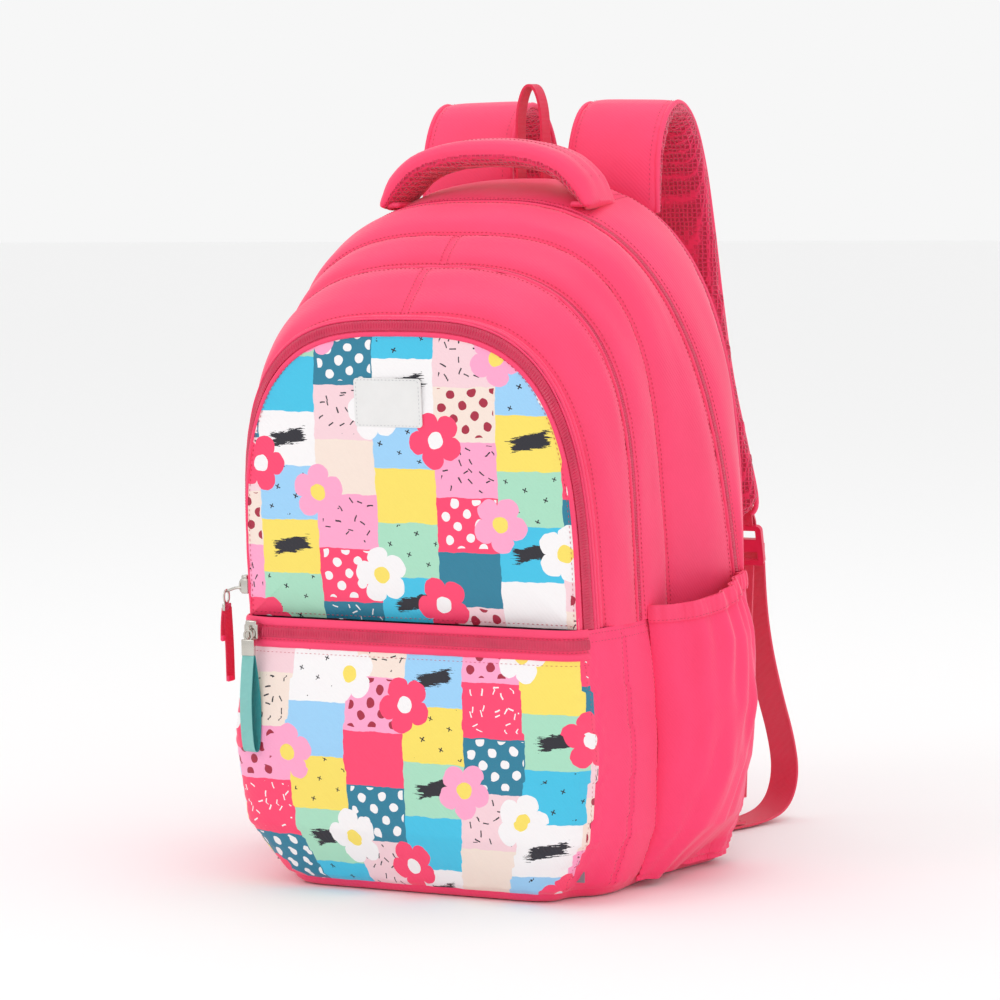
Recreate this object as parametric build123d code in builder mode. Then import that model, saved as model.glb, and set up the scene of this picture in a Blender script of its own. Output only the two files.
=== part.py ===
"""School backpack: three nested zipped compartments, printed front, padded straps. Millimetres.

+Z is up, the printed front faces -Y and +X is the viewer's right. The origin is the middle of the
base's underside. The bag is sewn from strips (gussets) that run between arched outlines, so every
strip here is a loft between two such outlines, each lying on its own slightly tilted plane.
"""

from math import cos, hypot, radians, sin, tan

from build123d import *
import os

os.makedirs("parts", exist_ok=True)

# ---- driving dimensions -------------------------------------------------------------------------
FOLD_Z = 182.0  # level of the crosswise zip, where every opened front folds forward
BACK_Y = 99.0  # inside face of the back panel's board
FABRIC = 1.6  # lined fabric wall
GAP = 0.6  # clear space between pieces that part at a zip
LIFT = 8.0  # how far above the fold a swinging strip starts
SIDE_FOLD_Z = 244.0  # below this the sides of the main gusset stay with the base

# An arch outline: half width, top height, height where the legs turn straight, squareness,
# depth of its top, and how much deeper it lies for each mm further down.
PRINT_EDGE = (120.0, 374.0, 200.0, 3.0, -104.0, 0.050)
FRONT_ZIP = (125.6, 383.0, 200.0, 3.2, -102.0, 0.130)
MID_ZIP = (135.0, 414.0, 250.0, 2.9, -54.0, 0.094)
SEAM = (136.0, 434.0, 265.0, 3.1, -17.0, 0.132)
MAIN_ZIP = (159.0, 455.0, 200.0, 2.85, 15.0, 0.262)
BACK_EDGE = (157.0, 469.0, 200.0, 2.9, 99.0, 0.0)
ARCH_ANGLES = (0, 15, 32, 50, 70, 90, 110, 130, 148, 165, 180)

ZIP_TAPE = 9.0  # width of a closed zip's exposed tape and coil
ZIP_RISE = 1.6  # how far the coil stands proud of the fabric

# Lower body: for each level, half width and depth of the front corner, of the side, of the back.
LEVELS = {
    0.0: (92.0, -80.0, 112.0, 130.0),
    10.0: (112.0, -95.0, 128.0, 145.0),
    45.0: (127.0, -104.0, 140.0, 156.0),
    100.0: (131.0, -106.0, 143.0, 160.0),
    FOLD_Z: (122.0, -101.0, 136.0, 158.0),
}
SIDE_FRONT_Y = -38.0
SIDE_BACK_Y = 16.0

STRAP_THICK = 12.0
STRAP_COVER = 1.6
STRAP_MESH = 2.6
LAYER_GAP = 0.2
# Shoulder strap centreline: x, y, z, width.
STRAP_PATH = (
    (56, 119, 464, 72),
    (56, 121, 482, 72),
    (56, 128, 501, 72),
    (56, 142, 515, 72),
    (56, 160, 518, 72),
    (56, 181, 505, 72),
    (57, 196, 476, 72),
    (60, 203, 435, 72),
    (66, 204, 380, 72),
    (76, 201, 325, 70),
    (88, 203, 275, 66),
    (98, 208, 238, 56),
    (101, 211, 225, 36),
)
WEBBING = 25.0
WEBBING_THICK = 1.8
LOCK_AT = (104.0, 227.0, 205.0)
LOCK_SIZE = (36.0, 30.0, 4.0)
LOCK_SLOT = (27.0, 6.5)
ANCHOR_AT = (140.0, 115.0, 40.0)  # where the fixed webbing is sewn to the lower corner
TAIL_FROM = (104.0, 224.8)
TAIL_LEAN = 20.0  # degrees the tail's plane turns outwards from straight back
# Free tail of the strap webbing, in its own plane: distance behind the lock, height.
TAIL_ROUTE = (
    (13, 206),
    (14, 172),
    (20, 133),
    (32, 94),
    (45, 60),
    (50, 32),
    (40, 10),
    (16, 2.6),
    (-8, 2.4),
)

HANDLE_Y = 46.0
HANDLE_FOOT = 461.0  # height of its two ends
HANDLE_TOP = 497.0
HANDLE_UNDER = 479.0
HANDLE_REACH = 78.0  # outer half length
HANDLE_WIDE = 24.0

POCKET_FRONT_Y = -18.0
POCKET_MIDDLE_Y = 45.0
POCKET_BACK_Y = 96.0
# Side pocket: how far out its belly stands at each height.
POCKET_BELLY = {8.0: 141.0, 40.0: 170.0, 80.0: 184.0, 120.0: 188.5, 165.0: 183.0, 191.0: 173.0}
HEM_TOP = 203.0
POCKET_CLEAR = 0.4


# ---- helpers ------------------------------------------------------------------------------------
def between(low, high, share):
    """The outline part of the way from one arch to another."""
    return tuple(a + (b - a) * share for a, b in zip(low, high))


def deeper(arch, distance, rise):
    """The same outline moved back, and a little larger or smaller."""
    wide, top, straight, square, depth, lean = arch
    return (wide + rise / 3, top + rise, straight, square, depth + distance, lean)


def arch_plane(arch):
    """The tilted plane of an arch, with its origin at the top of the arch."""
    lean = arch[5]
    return Plane(origin=(0, arch[4], arch[1]), x_dir=(1, 0, 0), z_dir=(0, -1, -lean))


def depth_at(arch, z):
    """Depth of an arch's plane at a height."""
    return arch[4] + arch[5] * (arch[1] - z)


def arch_face(arch, inset, bottom):
    """A filled arch outline, drawn in by inset, closed by a straight line at a height."""
    wide, top, straight, square, _, lean = arch
    stretch = hypot(1, lean)
    wide, rise = wide - inset, top - inset - straight
    points = []
    for angle in ARCH_ANGLES:
        across = abs(cos(radians(angle))) ** (2 / square)
        up = abs(sin(radians(angle))) ** (2 / square)
        x = wide * across if angle < 90 else -wide * across
        points.append((x, (straight + rise * up - top) * stretch))
    low = (bottom - top) * stretch
    with BuildSketch(arch_plane(arch)) as sketch:
        with BuildLine():
            Spline(*points, tangents=((0, 1), (0, -1)))
            Polyline(points[-1], (-wide, low), (wide, low), points[0])
        make_face()
    return sketch.sketch.faces()[0]


def strip(front, back, wall, bottom, proud=0.0):
    """The sewn strip that runs over the top between two arches, open below and inside."""
    with BuildPart() as piece:
        loft([arch_face(front, -proud, bottom), arch_face(back, -proud, bottom)], ruled=True)
        inner = [arch_face(front, wall - proud, bottom - 20), arch_face(back, wall - proud, bottom - 20)]
        loft(inner, ruled=True, mode=Mode.SUBTRACT)
    return piece


def wall_panel(arch, inset, thick, bottom):
    """A flat lining panel that fills an arch."""
    with BuildPart() as piece:
        face = arch_face(arch, inset, bottom)
        extrude(face, amount=thick, dir=arch_plane(arch).z_dir)
    return piece


def finish(piece, name):
    """Label a piece and write its STEP file."""
    piece.part.label = name
    export_step(piece.part, f"parts/{name}.step")


def box_between(low, high):
    """A plain box from its lowest to its highest corner."""
    size = [b - a for a, b in zip(low, high)]
    middle = tuple((a + b) / 2 for a, b in zip(low, high))
    with BuildPart() as piece:
        with Locations(middle):
            Box(*size)
    return piece


# ---- zips and the share of each strip they take ---------------------------------------------------
def share_of(front, back, distance):
    """How much of a strip's depth a distance is."""
    return distance / (depth_at(back, FOLD_Z) - depth_at(front, FOLD_Z))


main_gap = share_of(SEAM, MAIN_ZIP, GAP)
after_main_zip = deeper(MAIN_ZIP, ZIP_TAPE, 1.5)
before_main_zip = between(SEAM, MAIN_ZIP, 1 - main_gap)
mid_zip_end = between(MID_ZIP, SEAM, share_of(MID_ZIP, SEAM, ZIP_TAPE))
before_mid_zip = between(FRONT_ZIP, MID_ZIP, 1 - share_of(FRONT_ZIP, MID_ZIP, GAP))
front_zip_end = between(FRONT_ZIP, MID_ZIP, share_of(FRONT_ZIP, MID_ZIP, ZIP_TAPE))
before_front_zip = between(PRINT_EDGE, FRONT_ZIP, 1 - share_of(PRINT_EDGE, FRONT_ZIP, GAP))

# ---- rear gusset and main zip: they stay with the back ---------------------------------------------
rear_gusset = strip(after_main_zip, BACK_EDGE, FABRIC, FOLD_Z)
finish(rear_gusset, "rear_gusset")

main_zip = strip(MAIN_ZIP, after_main_zip, FABRIC, FOLD_Z, ZIP_RISE / 2)
finish(main_zip, "main_zip")

# ---- main lid: main gusset, piped seam, middle gusset, divider ---------------------------------------
with BuildPart() as main_gusset:
    add(strip(SEAM, before_main_zip, FABRIC, FOLD_Z).part)
    split(bisect_by=Plane.XY.offset(SIDE_FOLD_Z + GAP), keep=Keep.TOP)
finish(main_gusset, "main_gusset")

with BuildPart() as side_folds:
    add(strip(between(SEAM, before_main_zip, 0.07), before_main_zip, FABRIC, FOLD_Z).part)
    split(bisect_by=Plane.XY.offset(SIDE_FOLD_Z), keep=Keep.BOTTOM)
finish(side_folds, "side_folds")

middle_gusset = strip(mid_zip_end, SEAM, FABRIC, FOLD_Z + LIFT)
finish(middle_gusset, "middle_gusset")

main_divider = wall_panel(between(mid_zip_end, SEAM, 0.9), FABRIC + 2, 1.2, FOLD_Z + LIFT)
finish(main_divider, "main_divider")

mid_zip = strip(MID_ZIP, mid_zip_end, FABRIC, FOLD_Z + LIFT, ZIP_RISE / 2)
finish(mid_zip, "mid_zip")

# ---- middle lid: front gusset, front zip, divider -----------------------------------------------------
front_gusset = strip(front_zip_end, before_mid_zip, FABRIC, FOLD_Z + LIFT)
finish(front_gusset, "front_gusset")

front_zip = strip(FRONT_ZIP, front_zip_end, FABRIC, FOLD_Z + LIFT, ZIP_RISE / 2)
finish(front_zip, "front_zip")

middle_divider = wall_panel(between(FRONT_ZIP, MID_ZIP, 0.45), FABRIC + 2, 1.2, FOLD_Z + LIFT)
finish(middle_divider, "middle_divider")

# ---- front flap: printed upper panel, its lining and the blank patch -----------------------------------
with BuildPart() as upper_front_panel:
    flap_faces = [arch_face(PRINT_EDGE, 5.0, FOLD_Z + LIFT), arch_face(before_front_zip, 0.3, FOLD_Z + LIFT)]
    loft(flap_faces, ruled=True)
    lining_room = [arch_face(between(PRINT_EDGE, before_front_zip, 0.35), 9.0, FOLD_Z - 20)]
    lining_room.append(arch_face(before_front_zip, 3.0, FOLD_Z - 20))
    loft(lining_room, ruled=True, mode=Mode.SUBTRACT)
finish(upper_front_panel, "upper_front_panel")

PATCH_SIZE = (49.0, 32.0)
PATCH_AT = (-7.0, 328.0)
patch_plane = arch_plane(PRINT_EDGE)
with BuildPart() as label_patch:
    with BuildSketch(patch_plane.offset(0.1)):
        with Locations((PATCH_AT[0], PATCH_AT[1] - PRINT_EDGE[1])):
            RectangleRounded(*PATCH_SIZE, 3.0)
    extrude(amount=1.2)
finish(label_patch, "label_patch")

# ---- lower body ----------------------------------------------------------------------------------
PANEL_SPLIT_Y = -88.0  # where the printed lower panel meets the plain side bands
BASE_RISE = 12.0
ZIP_BAND = 165.0  # the crosswise zip band runs from here up to the fold
FRONT_CORNER = 24.0


def blend_level(z):
    """Outline sizes of the lower body at a height."""
    heights = sorted(LEVELS)
    above = next(h for h in heights if h >= z)
    below = max(h for h in heights if h <= z)
    share = (z - below) / (above - below) if above > below else 0.0
    return between(LEVELS[below], LEVELS[above], share)


def body_face(z, inset):
    """The body's outline at a height, drawn in by the inset."""
    corner, front, side, back = blend_level(z)
    ahead = front + inset
    half = [(corner - inset, ahead), (side - inset, SIDE_FRONT_Y), (side - inset, SIDE_BACK_Y)]
    half += [(back - inset, 86.0), (back - inset - 2, BACK_Y)]
    with BuildSketch(Plane.XY.offset(z)) as sketch:
        with BuildLine():
            Polyline(*half, *[(-x, y) for x, y in reversed(half)], close=True)
        make_face()
        fillet(sketch.vertices().group_by(Axis.Y)[0], FRONT_CORNER - inset)
    return sketch.sketch.faces()[0]


def body_slice(low, high, front_y, back_y):
    """The part of the lower body's fabric wall inside a band of heights and depths."""
    levels = [z for z in sorted(LEVELS)]
    with BuildPart() as piece:
        loft([body_face(z, 0) for z in levels], ruled=True)
        loft([body_face(z, FABRIC) for z in levels], ruled=True, mode=Mode.SUBTRACT)
        with Locations((0, (front_y + back_y) / 2, (low + high) / 2)):
            Box(400, back_y - front_y, high - low, mode=Mode.INTERSECT)
    return piece


lower_front_panel = body_slice(BASE_RISE, ZIP_BAND, -130, PANEL_SPLIT_Y)
finish(lower_front_panel, "lower_front_panel")

pocket_zip = body_slice(ZIP_BAND, FOLD_Z, -130, PANEL_SPLIT_Y)
finish(pocket_zip, "pocket_zip")

lower_side_bands = body_slice(BASE_RISE, FOLD_Z, PANEL_SPLIT_Y, 97.0)
finish(lower_side_bands, "lower_side_bands")

with BuildPart() as base_panel:
    loft([body_face(z, 0) for z in (0.0, 10.0, BASE_RISE)], ruled=True)
    loft([body_face(z, 2.0) for z in (2.0, 10.0, BASE_RISE)], ruled=True, mode=Mode.SUBTRACT)
finish(base_panel, "base_panel")

base_board = box_between((-88, -72, 2.6), (88, 90, 4.6))
finish(base_board, "base_board")

pocket_back_wall = box_between((-114, -74, BASE_RISE + 2), (114, -72.8, FOLD_Z - 2))
finish(pocket_back_wall, "pocket_back_wall")

laptop_sleeve = box_between((-122, 82, 24), (122, 83.5, 330))
finish(laptop_sleeve, "laptop_sleeve")


# ---- back panel ------------------------------------------------------------------------------------
def back_layer(inset, near, far, corner):
    """A layer of the back panel, as tall as the bag."""
    with BuildPart() as piece:
        with BuildSketch(Plane.XZ.offset(-near)) as outline:
            points = []
            wide, top, straight, square = BACK_EDGE[:4]
            for angle in ARCH_ANGLES:
                across = (wide - inset) * abs(cos(radians(angle))) ** (2 / square)
                up = (top - inset - straight) * abs(sin(radians(angle))) ** (2 / square)
                points.append((across if angle < 90 else -across, straight + up))
            with BuildLine():
                Spline(*points, tangents=((0, 1), (0, -1)))
                Polyline(points[-1], (inset - wide, 4), (wide - inset, 4), points[0])
            make_face()
            fillet(outline.vertices().group_by(Axis.Y)[0], corner)
        extrude(amount=near - far)
    return piece


back_board = back_layer(7.0, BACK_Y + 0.3, BACK_Y + 1.8, 34.0)
finish(back_board, "back_board")

back_foam = back_layer(6.0, BACK_Y + 2.0, BACK_Y + 7.8, 34.0)
finish(back_foam, "back_foam")

back_mesh_pad = back_layer(1.0, BACK_Y + 8.0, BACK_Y + 11.0, 34.0)
finish(back_mesh_pad, "back_mesh_pad")

strap_yoke = box_between((-96, 110.4, 404), (96, 115.5, 461))
finish(strap_yoke, "strap_yoke")

with BuildPart() as anchor_wings:
    for side in (-1, 1):
        with BuildSketch(Plane.XZ.offset(-110.4)):
            with BuildLine():
                Polyline((side * 118, 12), (side * 152, 60), (side * 154, 30), (side * 136, 8), close=True)
            make_face()
        extrude(amount=-2.4)
finish(anchor_wings, "anchor_wings")


# ---- side pockets ------------------------------------------------------------------------------------
def wall_x(y, z):
    """How far out the body's side stands."""
    _, _, side, back = blend_level(min(z, FOLD_Z))
    if y <= SIDE_BACK_Y:
        return side
    return side + (back - side) * (y - SIDE_BACK_Y) / (86.0 - SIDE_BACK_Y)


def pocket_face(z, belly, inset):
    """Section of a side pocket between the body's side and its own bulging skin."""
    clear = POCKET_CLEAR if z < FOLD_Z else POCKET_CLEAR + 6.0
    front = (wall_x(POCKET_FRONT_Y, z) + clear, POCKET_FRONT_Y + inset)
    bend = (wall_x(SIDE_BACK_Y, z) + clear, SIDE_BACK_Y)
    back = (wall_x(86.0, z) + clear, POCKET_BACK_Y - inset)
    with BuildSketch(Plane.XY.offset(z)) as sketch:
        with BuildLine():
            Polyline(back, bend, front)
            ThreePointArc(front, (belly - inset, POCKET_MIDDLE_Y), back)
        make_face()
    return sketch.sketch.faces()[0]


def pocket_skin(levels, wall):
    """One pocket's curved skin, open at the top and against the body."""
    with BuildPart() as piece:
        loft([pocket_face(z, belly, 0) for z, belly in levels], ruled=True)
        inner = levels if levels[0][0] > 100 else levels[1:]
        loft([pocket_face(z, belly, wall) for z, belly in inner], ruled=True, mode=Mode.SUBTRACT)
        loft([body_face(z, -POCKET_CLEAR) for z in sorted(LEVELS)], ruled=True, mode=Mode.SUBTRACT)
    return piece


pocket_levels = list(POCKET_BELLY.items())
hem_levels = [(191.0, 173.4), (HEM_TOP, 168.0)]
for name, levels, wall in (("side_pocket", pocket_levels, 1.5), ("pocket_hem", hem_levels, 2.6)):
    right = pocket_skin(levels, wall)
    finish(right, name + "_right")
    with BuildPart() as left:
        add(right.part.mirror(Plane.YZ))
    finish(left, name + "_left")

# ---- hang loop and grab handle -------------------------------------------------------------------------
LOOP_HALF = 11.0
LOOP_FOOT = 470.4
LOOP_TOP = 536.0
with BuildPart() as hang_loop:
    with BuildSketch(Plane.XZ.offset(-101.0)):
        with BuildLine():
            Polyline((-LOOP_HALF, LOOP_TOP - LOOP_HALF), (-LOOP_HALF, LOOP_FOOT), (-LOOP_HALF + 2, LOOP_FOOT))
            Line((-LOOP_HALF + 2, LOOP_FOOT), (-LOOP_HALF + 2, LOOP_TOP - LOOP_HALF))
            ThreePointArc(
                (-LOOP_HALF + 2, LOOP_TOP - LOOP_HALF),
                (0, LOOP_TOP - 2),
                (LOOP_HALF - 2, LOOP_TOP - LOOP_HALF),
            )
            Polyline((LOOP_HALF - 2, LOOP_TOP - LOOP_HALF), (LOOP_HALF - 2, LOOP_FOOT), (LOOP_HALF, LOOP_FOOT))
            Line((LOOP_HALF, LOOP_FOOT), (LOOP_HALF, LOOP_TOP - LOOP_HALF))
            ThreePointArc(
                (LOOP_HALF, LOOP_TOP - LOOP_HALF), (0, LOOP_TOP), (-LOOP_HALF, LOOP_TOP - LOOP_HALF)
            )
        make_face()
    extrude(amount=-11.0)
finish(hang_loop, "hang_loop")


def handle_layer(outer_reach, outer_top, inner_reach, inner_top, foot):
    """A curved layer of the grab handle between two arcs."""
    with BuildPart() as piece:
        with BuildSketch(Plane.XZ.offset(-HANDLE_Y - HANDLE_WIDE / 2)):
            with BuildLine():
                ThreePointArc((-outer_reach, foot), (0, outer_top), (outer_reach, foot))
                Line((outer_reach, foot), (inner_reach, foot))
                ThreePointArc((inner_reach, foot), (0, inner_top), (-inner_reach, foot))
                Line((-inner_reach, foot), (-outer_reach, foot))
            make_face()
        extrude(amount=HANDLE_WIDE)
    return piece


handle_cover = handle_layer(HANDLE_REACH, HANDLE_TOP, HANDLE_REACH - 6, HANDLE_TOP - 5, HANDLE_FOOT)
finish(handle_cover, "handle_cover")

handle_foam = handle_layer(HANDLE_REACH - 6.4, HANDLE_TOP - 5.2, HANDLE_REACH - 13, HANDLE_UNDER + 3, HANDLE_FOOT)
finish(handle_foam, "handle_foam")

handle_mesh = handle_layer(HANDLE_REACH - 13.4, HANDLE_UNDER + 2.8, HANDLE_REACH - 17, HANDLE_UNDER, HANDLE_FOOT)
finish(handle_mesh, "handle_mesh")

with BuildPart() as handle_anchors:
    with Locations((-70, HANDLE_Y, 458.1), (70, HANDLE_Y, 458.1)):
        Box(12, 14, 1.8)
finish(handle_anchors, "handle_anchors")

# ---- sliders and pulls --------------------------------------------------------------------------------
pocket_slider = box_between((-118, -108.4, 168), (-107, -102.8, 179))
pocket_pull_clamp = box_between((-117.5, -112.5, 157.5), (-107.5, -109.2, 169))
pocket_pull_ribbon = box_between((-118, -113.4, 93), (-107, -108.4, 157.3))
front_slider = box_between((-134, -84, 195), (-127.6, -73, 206))
front_pull = box_between((-148, -84, 122), (-145.4, -74, 197))
middle_slider = box_between((-143, -39, 195), (-137.2, -28, 206))
middle_pull = box_between((-149, -39, 152), (-146.4, -29, 197))
main_slider = box_between((-168, 52, 286), (-161.6, 63, 297))
main_pull = box_between((-171.4, 52.5, 222), (-168.8, 62.5, 288))
for name, piece in (
    ("pocket_slider", pocket_slider),
    ("pocket_pull_clamp", pocket_pull_clamp),
    ("pocket_pull_ribbon", pocket_pull_ribbon),
    ("front_slider", front_slider),
    ("front_pull", front_pull),
    ("middle_slider", middle_slider),
    ("middle_pull", middle_pull),
    ("main_slider", main_slider),
    ("main_pull", main_pull),
):
    finish(piece, name)


# ---- shoulder straps ----------------------------------------------------------------------------------
def strap_edge(distance):
    """Side view of the strap's line, moved sideways from its outer face by a distance."""
    points = []
    for i, (_, y, z, _) in enumerate(STRAP_PATH):
        before = STRAP_PATH[max(i - 1, 0)]
        after = STRAP_PATH[min(i + 1, len(STRAP_PATH) - 1)]
        run = Vector(after[1] - before[1], after[2] - before[2]).normalized()
        shift = distance - STRAP_THICK / 2
        points.append((y + run.Y * shift, z - run.X * shift))
    return points


def strap_layer(near, far, narrower):
    """A layer of the right strap: its side view, cut to the outline seen from behind."""
    outer, inner = strap_edge(near), strap_edge(far)
    lower = [row for row in STRAP_PATH if row[1] > 190]
    left = [(x - (wide - narrower) / 2, z) for x, _, z, wide in lower]
    right = [(x + (wide - narrower) / 2, z) for x, _, z, wide in lower]
    with BuildPart() as piece:
        with BuildSketch(Plane.YZ):
            with BuildLine():
                Spline(*outer)
                Line(outer[-1], inner[-1])
                Spline(*reversed(inner))
                Line(inner[0], outer[0])
            make_face()
        extrude(amount=160)
        with BuildSketch(Plane.XZ.offset(-90)):
            with BuildLine():
                Polyline((left[0][0], 540), left[0])
                Spline(*left)
                Polyline(left[-1], (left[-1][0], 200), (right[-1][0], 200), right[-1])
                Spline(*reversed(right))
                Polyline(right[0], (right[0][0], 540), (left[0][0], 540))
            make_face()
        extrude(amount=-150, mode=Mode.INTERSECT)
    return piece


def both_sides(right, name):
    """Write a right-hand piece and its mirrored twin."""
    finish(right, name + "_right")
    with BuildPart() as left:
        add(right.part.mirror(Plane.YZ))
    finish(left, name + "_left")


foam_start = STRAP_COVER + LAYER_GAP
foam_end = STRAP_THICK - STRAP_MESH - LAYER_GAP
both_sides(strap_layer(0, STRAP_COVER, 0), "strap_cover")
both_sides(strap_layer(foam_start, foam_end, 4), "strap_foam")
both_sides(strap_layer(STRAP_THICK - STRAP_MESH, STRAP_THICK, 2), "strap_mesh")

lock_plane = Plane(origin=LOCK_AT, x_dir=(1, 0, 0), z_dir=(0, 1, 0.25))
with BuildPart() as ladder_lock:
    with BuildSketch(lock_plane):
        RectangleRounded(LOCK_SIZE[0], LOCK_SIZE[1], 4)
        with Locations((0, 8), (0, -8)):
            Rectangle(*LOCK_SLOT, mode=Mode.SUBTRACT)
    extrude(amount=LOCK_SIZE[2] / 2, both=True)
both_sides(ladder_lock, "ladder_lock")

lock_tab = box_between((91.5, 218.2, 222.6), (116.5, 220.0, 262))
both_sides(lock_tab, "lock_tab")

lower_start = Vector(*LOCK_AT) - Vector(0, 4, 17)
lower_run = Vector(*ANCHOR_AT) - lower_start
with BuildPart() as lower_webbing:
    with BuildSketch(Plane(origin=lower_start, x_dir=(1, 0, 0.2), z_dir=lower_run)):
        Rectangle(WEBBING, WEBBING_THICK)
    extrude(amount=lower_run.length)
both_sides(lower_webbing, "lower_webbing")

# ---- free webbing tails ---------------------------------------------------------------------------------
runs = [Vector(b[0] - a[0], b[1] - a[1]) for a, b in zip(TAIL_ROUTE, TAIL_ROUTE[1:])]
radii = []
for a, b in zip(runs, runs[1:]):
    turn = radians(a.get_angle(b))
    radii.append(0.45 * min(a.length, b.length) / tan(turn / 2))
print("tail radii", [round(r) for r in radii], "runs", [round(r.length) for r in runs])

outward = Vector(sin(radians(TAIL_LEAN)), cos(radians(TAIL_LEAN)), 0)
across = Vector(cos(radians(TAIL_LEAN)), -sin(radians(TAIL_LEAN)), 0)
tail_plane = Plane(origin=(*TAIL_FROM, 0), x_dir=outward, z_dir=outward.cross(Vector(0, 0, 1)))
start_plane = Plane(origin=tail_plane.from_local_coords(Vector(*TAIL_ROUTE[0])), x_dir=across, z_dir=(0, 0, -1))
with BuildPart() as webbing_tail:
    with BuildLine(tail_plane) as route:
        FilletPolyline(*TAIL_ROUTE, radius=radii)
    with BuildSketch(start_plane):
        Rectangle(WEBBING, WEBBING_THICK)
    sweep()
tail_length = sum(edge.length for edge in route.line.edges())
print("tail length", round(tail_length), "volume", round(webbing_tail.part.volume), "of",
      round(tail_length * WEBBING * WEBBING_THICK))
both_sides(webbing_tail, "webbing_tail")

with BuildPart() as tail_fold:
    with BuildSketch(tail_plane.offset(-WEBBING / 2)):
        with Locations((TAIL_ROUTE[-1][0] - 7.2, 3.4)):
            RectangleRounded(14, 6.2, 2.4)
    extrude(amount=WEBBING)
both_sides(tail_fold, "tail_fold")
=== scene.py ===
"""School backpack: sewn fabric, zips, pads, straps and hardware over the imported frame. Metres."""
import math
import bmesh
import bpy
from mathutils import Matrix, Vector, kdtree, noise


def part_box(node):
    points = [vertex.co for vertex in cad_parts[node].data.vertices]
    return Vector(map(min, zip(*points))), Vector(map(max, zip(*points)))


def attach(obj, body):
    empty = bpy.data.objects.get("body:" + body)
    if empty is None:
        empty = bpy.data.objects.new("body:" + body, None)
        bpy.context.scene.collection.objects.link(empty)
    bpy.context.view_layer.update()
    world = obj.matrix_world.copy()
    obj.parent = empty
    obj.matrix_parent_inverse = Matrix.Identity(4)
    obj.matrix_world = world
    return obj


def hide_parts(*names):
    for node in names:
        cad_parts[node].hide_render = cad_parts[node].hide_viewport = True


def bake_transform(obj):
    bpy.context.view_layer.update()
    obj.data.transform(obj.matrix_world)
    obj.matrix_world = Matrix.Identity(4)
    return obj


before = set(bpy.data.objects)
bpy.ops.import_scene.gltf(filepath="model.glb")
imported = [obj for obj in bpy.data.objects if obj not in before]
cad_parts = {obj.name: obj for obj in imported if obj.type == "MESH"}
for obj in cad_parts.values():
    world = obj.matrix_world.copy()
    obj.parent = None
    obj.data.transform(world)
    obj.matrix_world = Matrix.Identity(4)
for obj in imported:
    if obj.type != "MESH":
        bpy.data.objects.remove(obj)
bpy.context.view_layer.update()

bpy.ops.object.select_all(action="DESELECT")

MM = 0.001
FOLD_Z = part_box("pocket_zip")[1].z / MM  # the crosswise zip's upper edge, where every front folds

# Sewn outlines in mm: half width, top, where the legs turn straight, squareness, depth of the top,
# and how much deeper the outline lies for each mm further down.
PRINT_EDGE = (121.0, 374.0, 200.0, 3.1, -104.0, 0.060)
FRONT_ZIP = (125.6, 383.0, 200.0, 3.2, -102.0, 0.130)
MID_ZIP = (135.0, 414.0, 250.0, 2.9, -54.0, 0.094)
SEAM = (136.0, 434.0, 265.0, 3.1, -17.0, 0.132)
MAIN_ZIP = (157.0, 455.0, 200.0, 2.85, 15.0, 0.262)
BACK_EDGE = (155.0, 469.0, 200.0, 2.9, 99.0, 0.0)
ZIP_WIDTH = 9.0
ZIP_PITCH = 1.9  # coarser than the real coil's 1.2 mm, so that each turn shows
LID_SPLIT = 225.5  # height in mm where the front gusset and the front zip band are cut in two
LID_TOP = 290  # the top of the front lid's range in mm, as handed to bends
SIDE_TOP = 235  # the top of the middle and main gussets' range in mm, as handed to bends
SAMPLES = 240


# ---- colours and materials ----
def linear(code):
    """An sRGB hex colour as the linear colour that a shader takes."""
    parts = [int(code[i:i + 2], 16) / 255 for i in (1, 3, 5)]
    return [p / 12.92 if p <= 0.04045 else ((p + 0.055) / 1.055) ** 2.4 for p in parts] + [1.0]


def add_node(tree, kind, *inputs, **settings):
    """Adds one node with its settings; each input is a value, a socket to link, or None to leave."""
    made = tree.nodes.new(kind)
    for key, value in settings.items():
        setattr(made, key, value)
    for socket, value in zip(made.inputs, inputs):
        if isinstance(value, bpy.types.NodeSocket):
            tree.links.new(value, socket)
        elif value is not None:
            socket.default_value = value
    return made


def calc(tree, operation, *values):
    """One step of arithmetic on values and sockets."""
    return add_node(tree, "ShaderNodeMath", *values, operation=operation).outputs[0]


def new_material(name, colour, rough, **sockets):
    """A material with its shader, and the tree for what follows."""
    made = bpy.data.materials.new(name)
    made.use_nodes = True
    shader = made.node_tree.nodes["Principled BSDF"]
    shader.inputs["Base Color"].default_value = linear(colour)
    shader.inputs["Roughness"].default_value = rough
    for key, value in sockets.items():
        shader.inputs[key.replace("_", " ")].default_value = value
    return made, shader, made.node_tree


def object_at(tree):
    """Object coordinates, in metres."""
    return add_node(tree, "ShaderNodeTexCoord").outputs["Object"]


def uv_at(tree):
    """The piece's own UV map, in metres of cloth."""
    return add_node(tree, "ShaderNodeUVMap").outputs[0]


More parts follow.
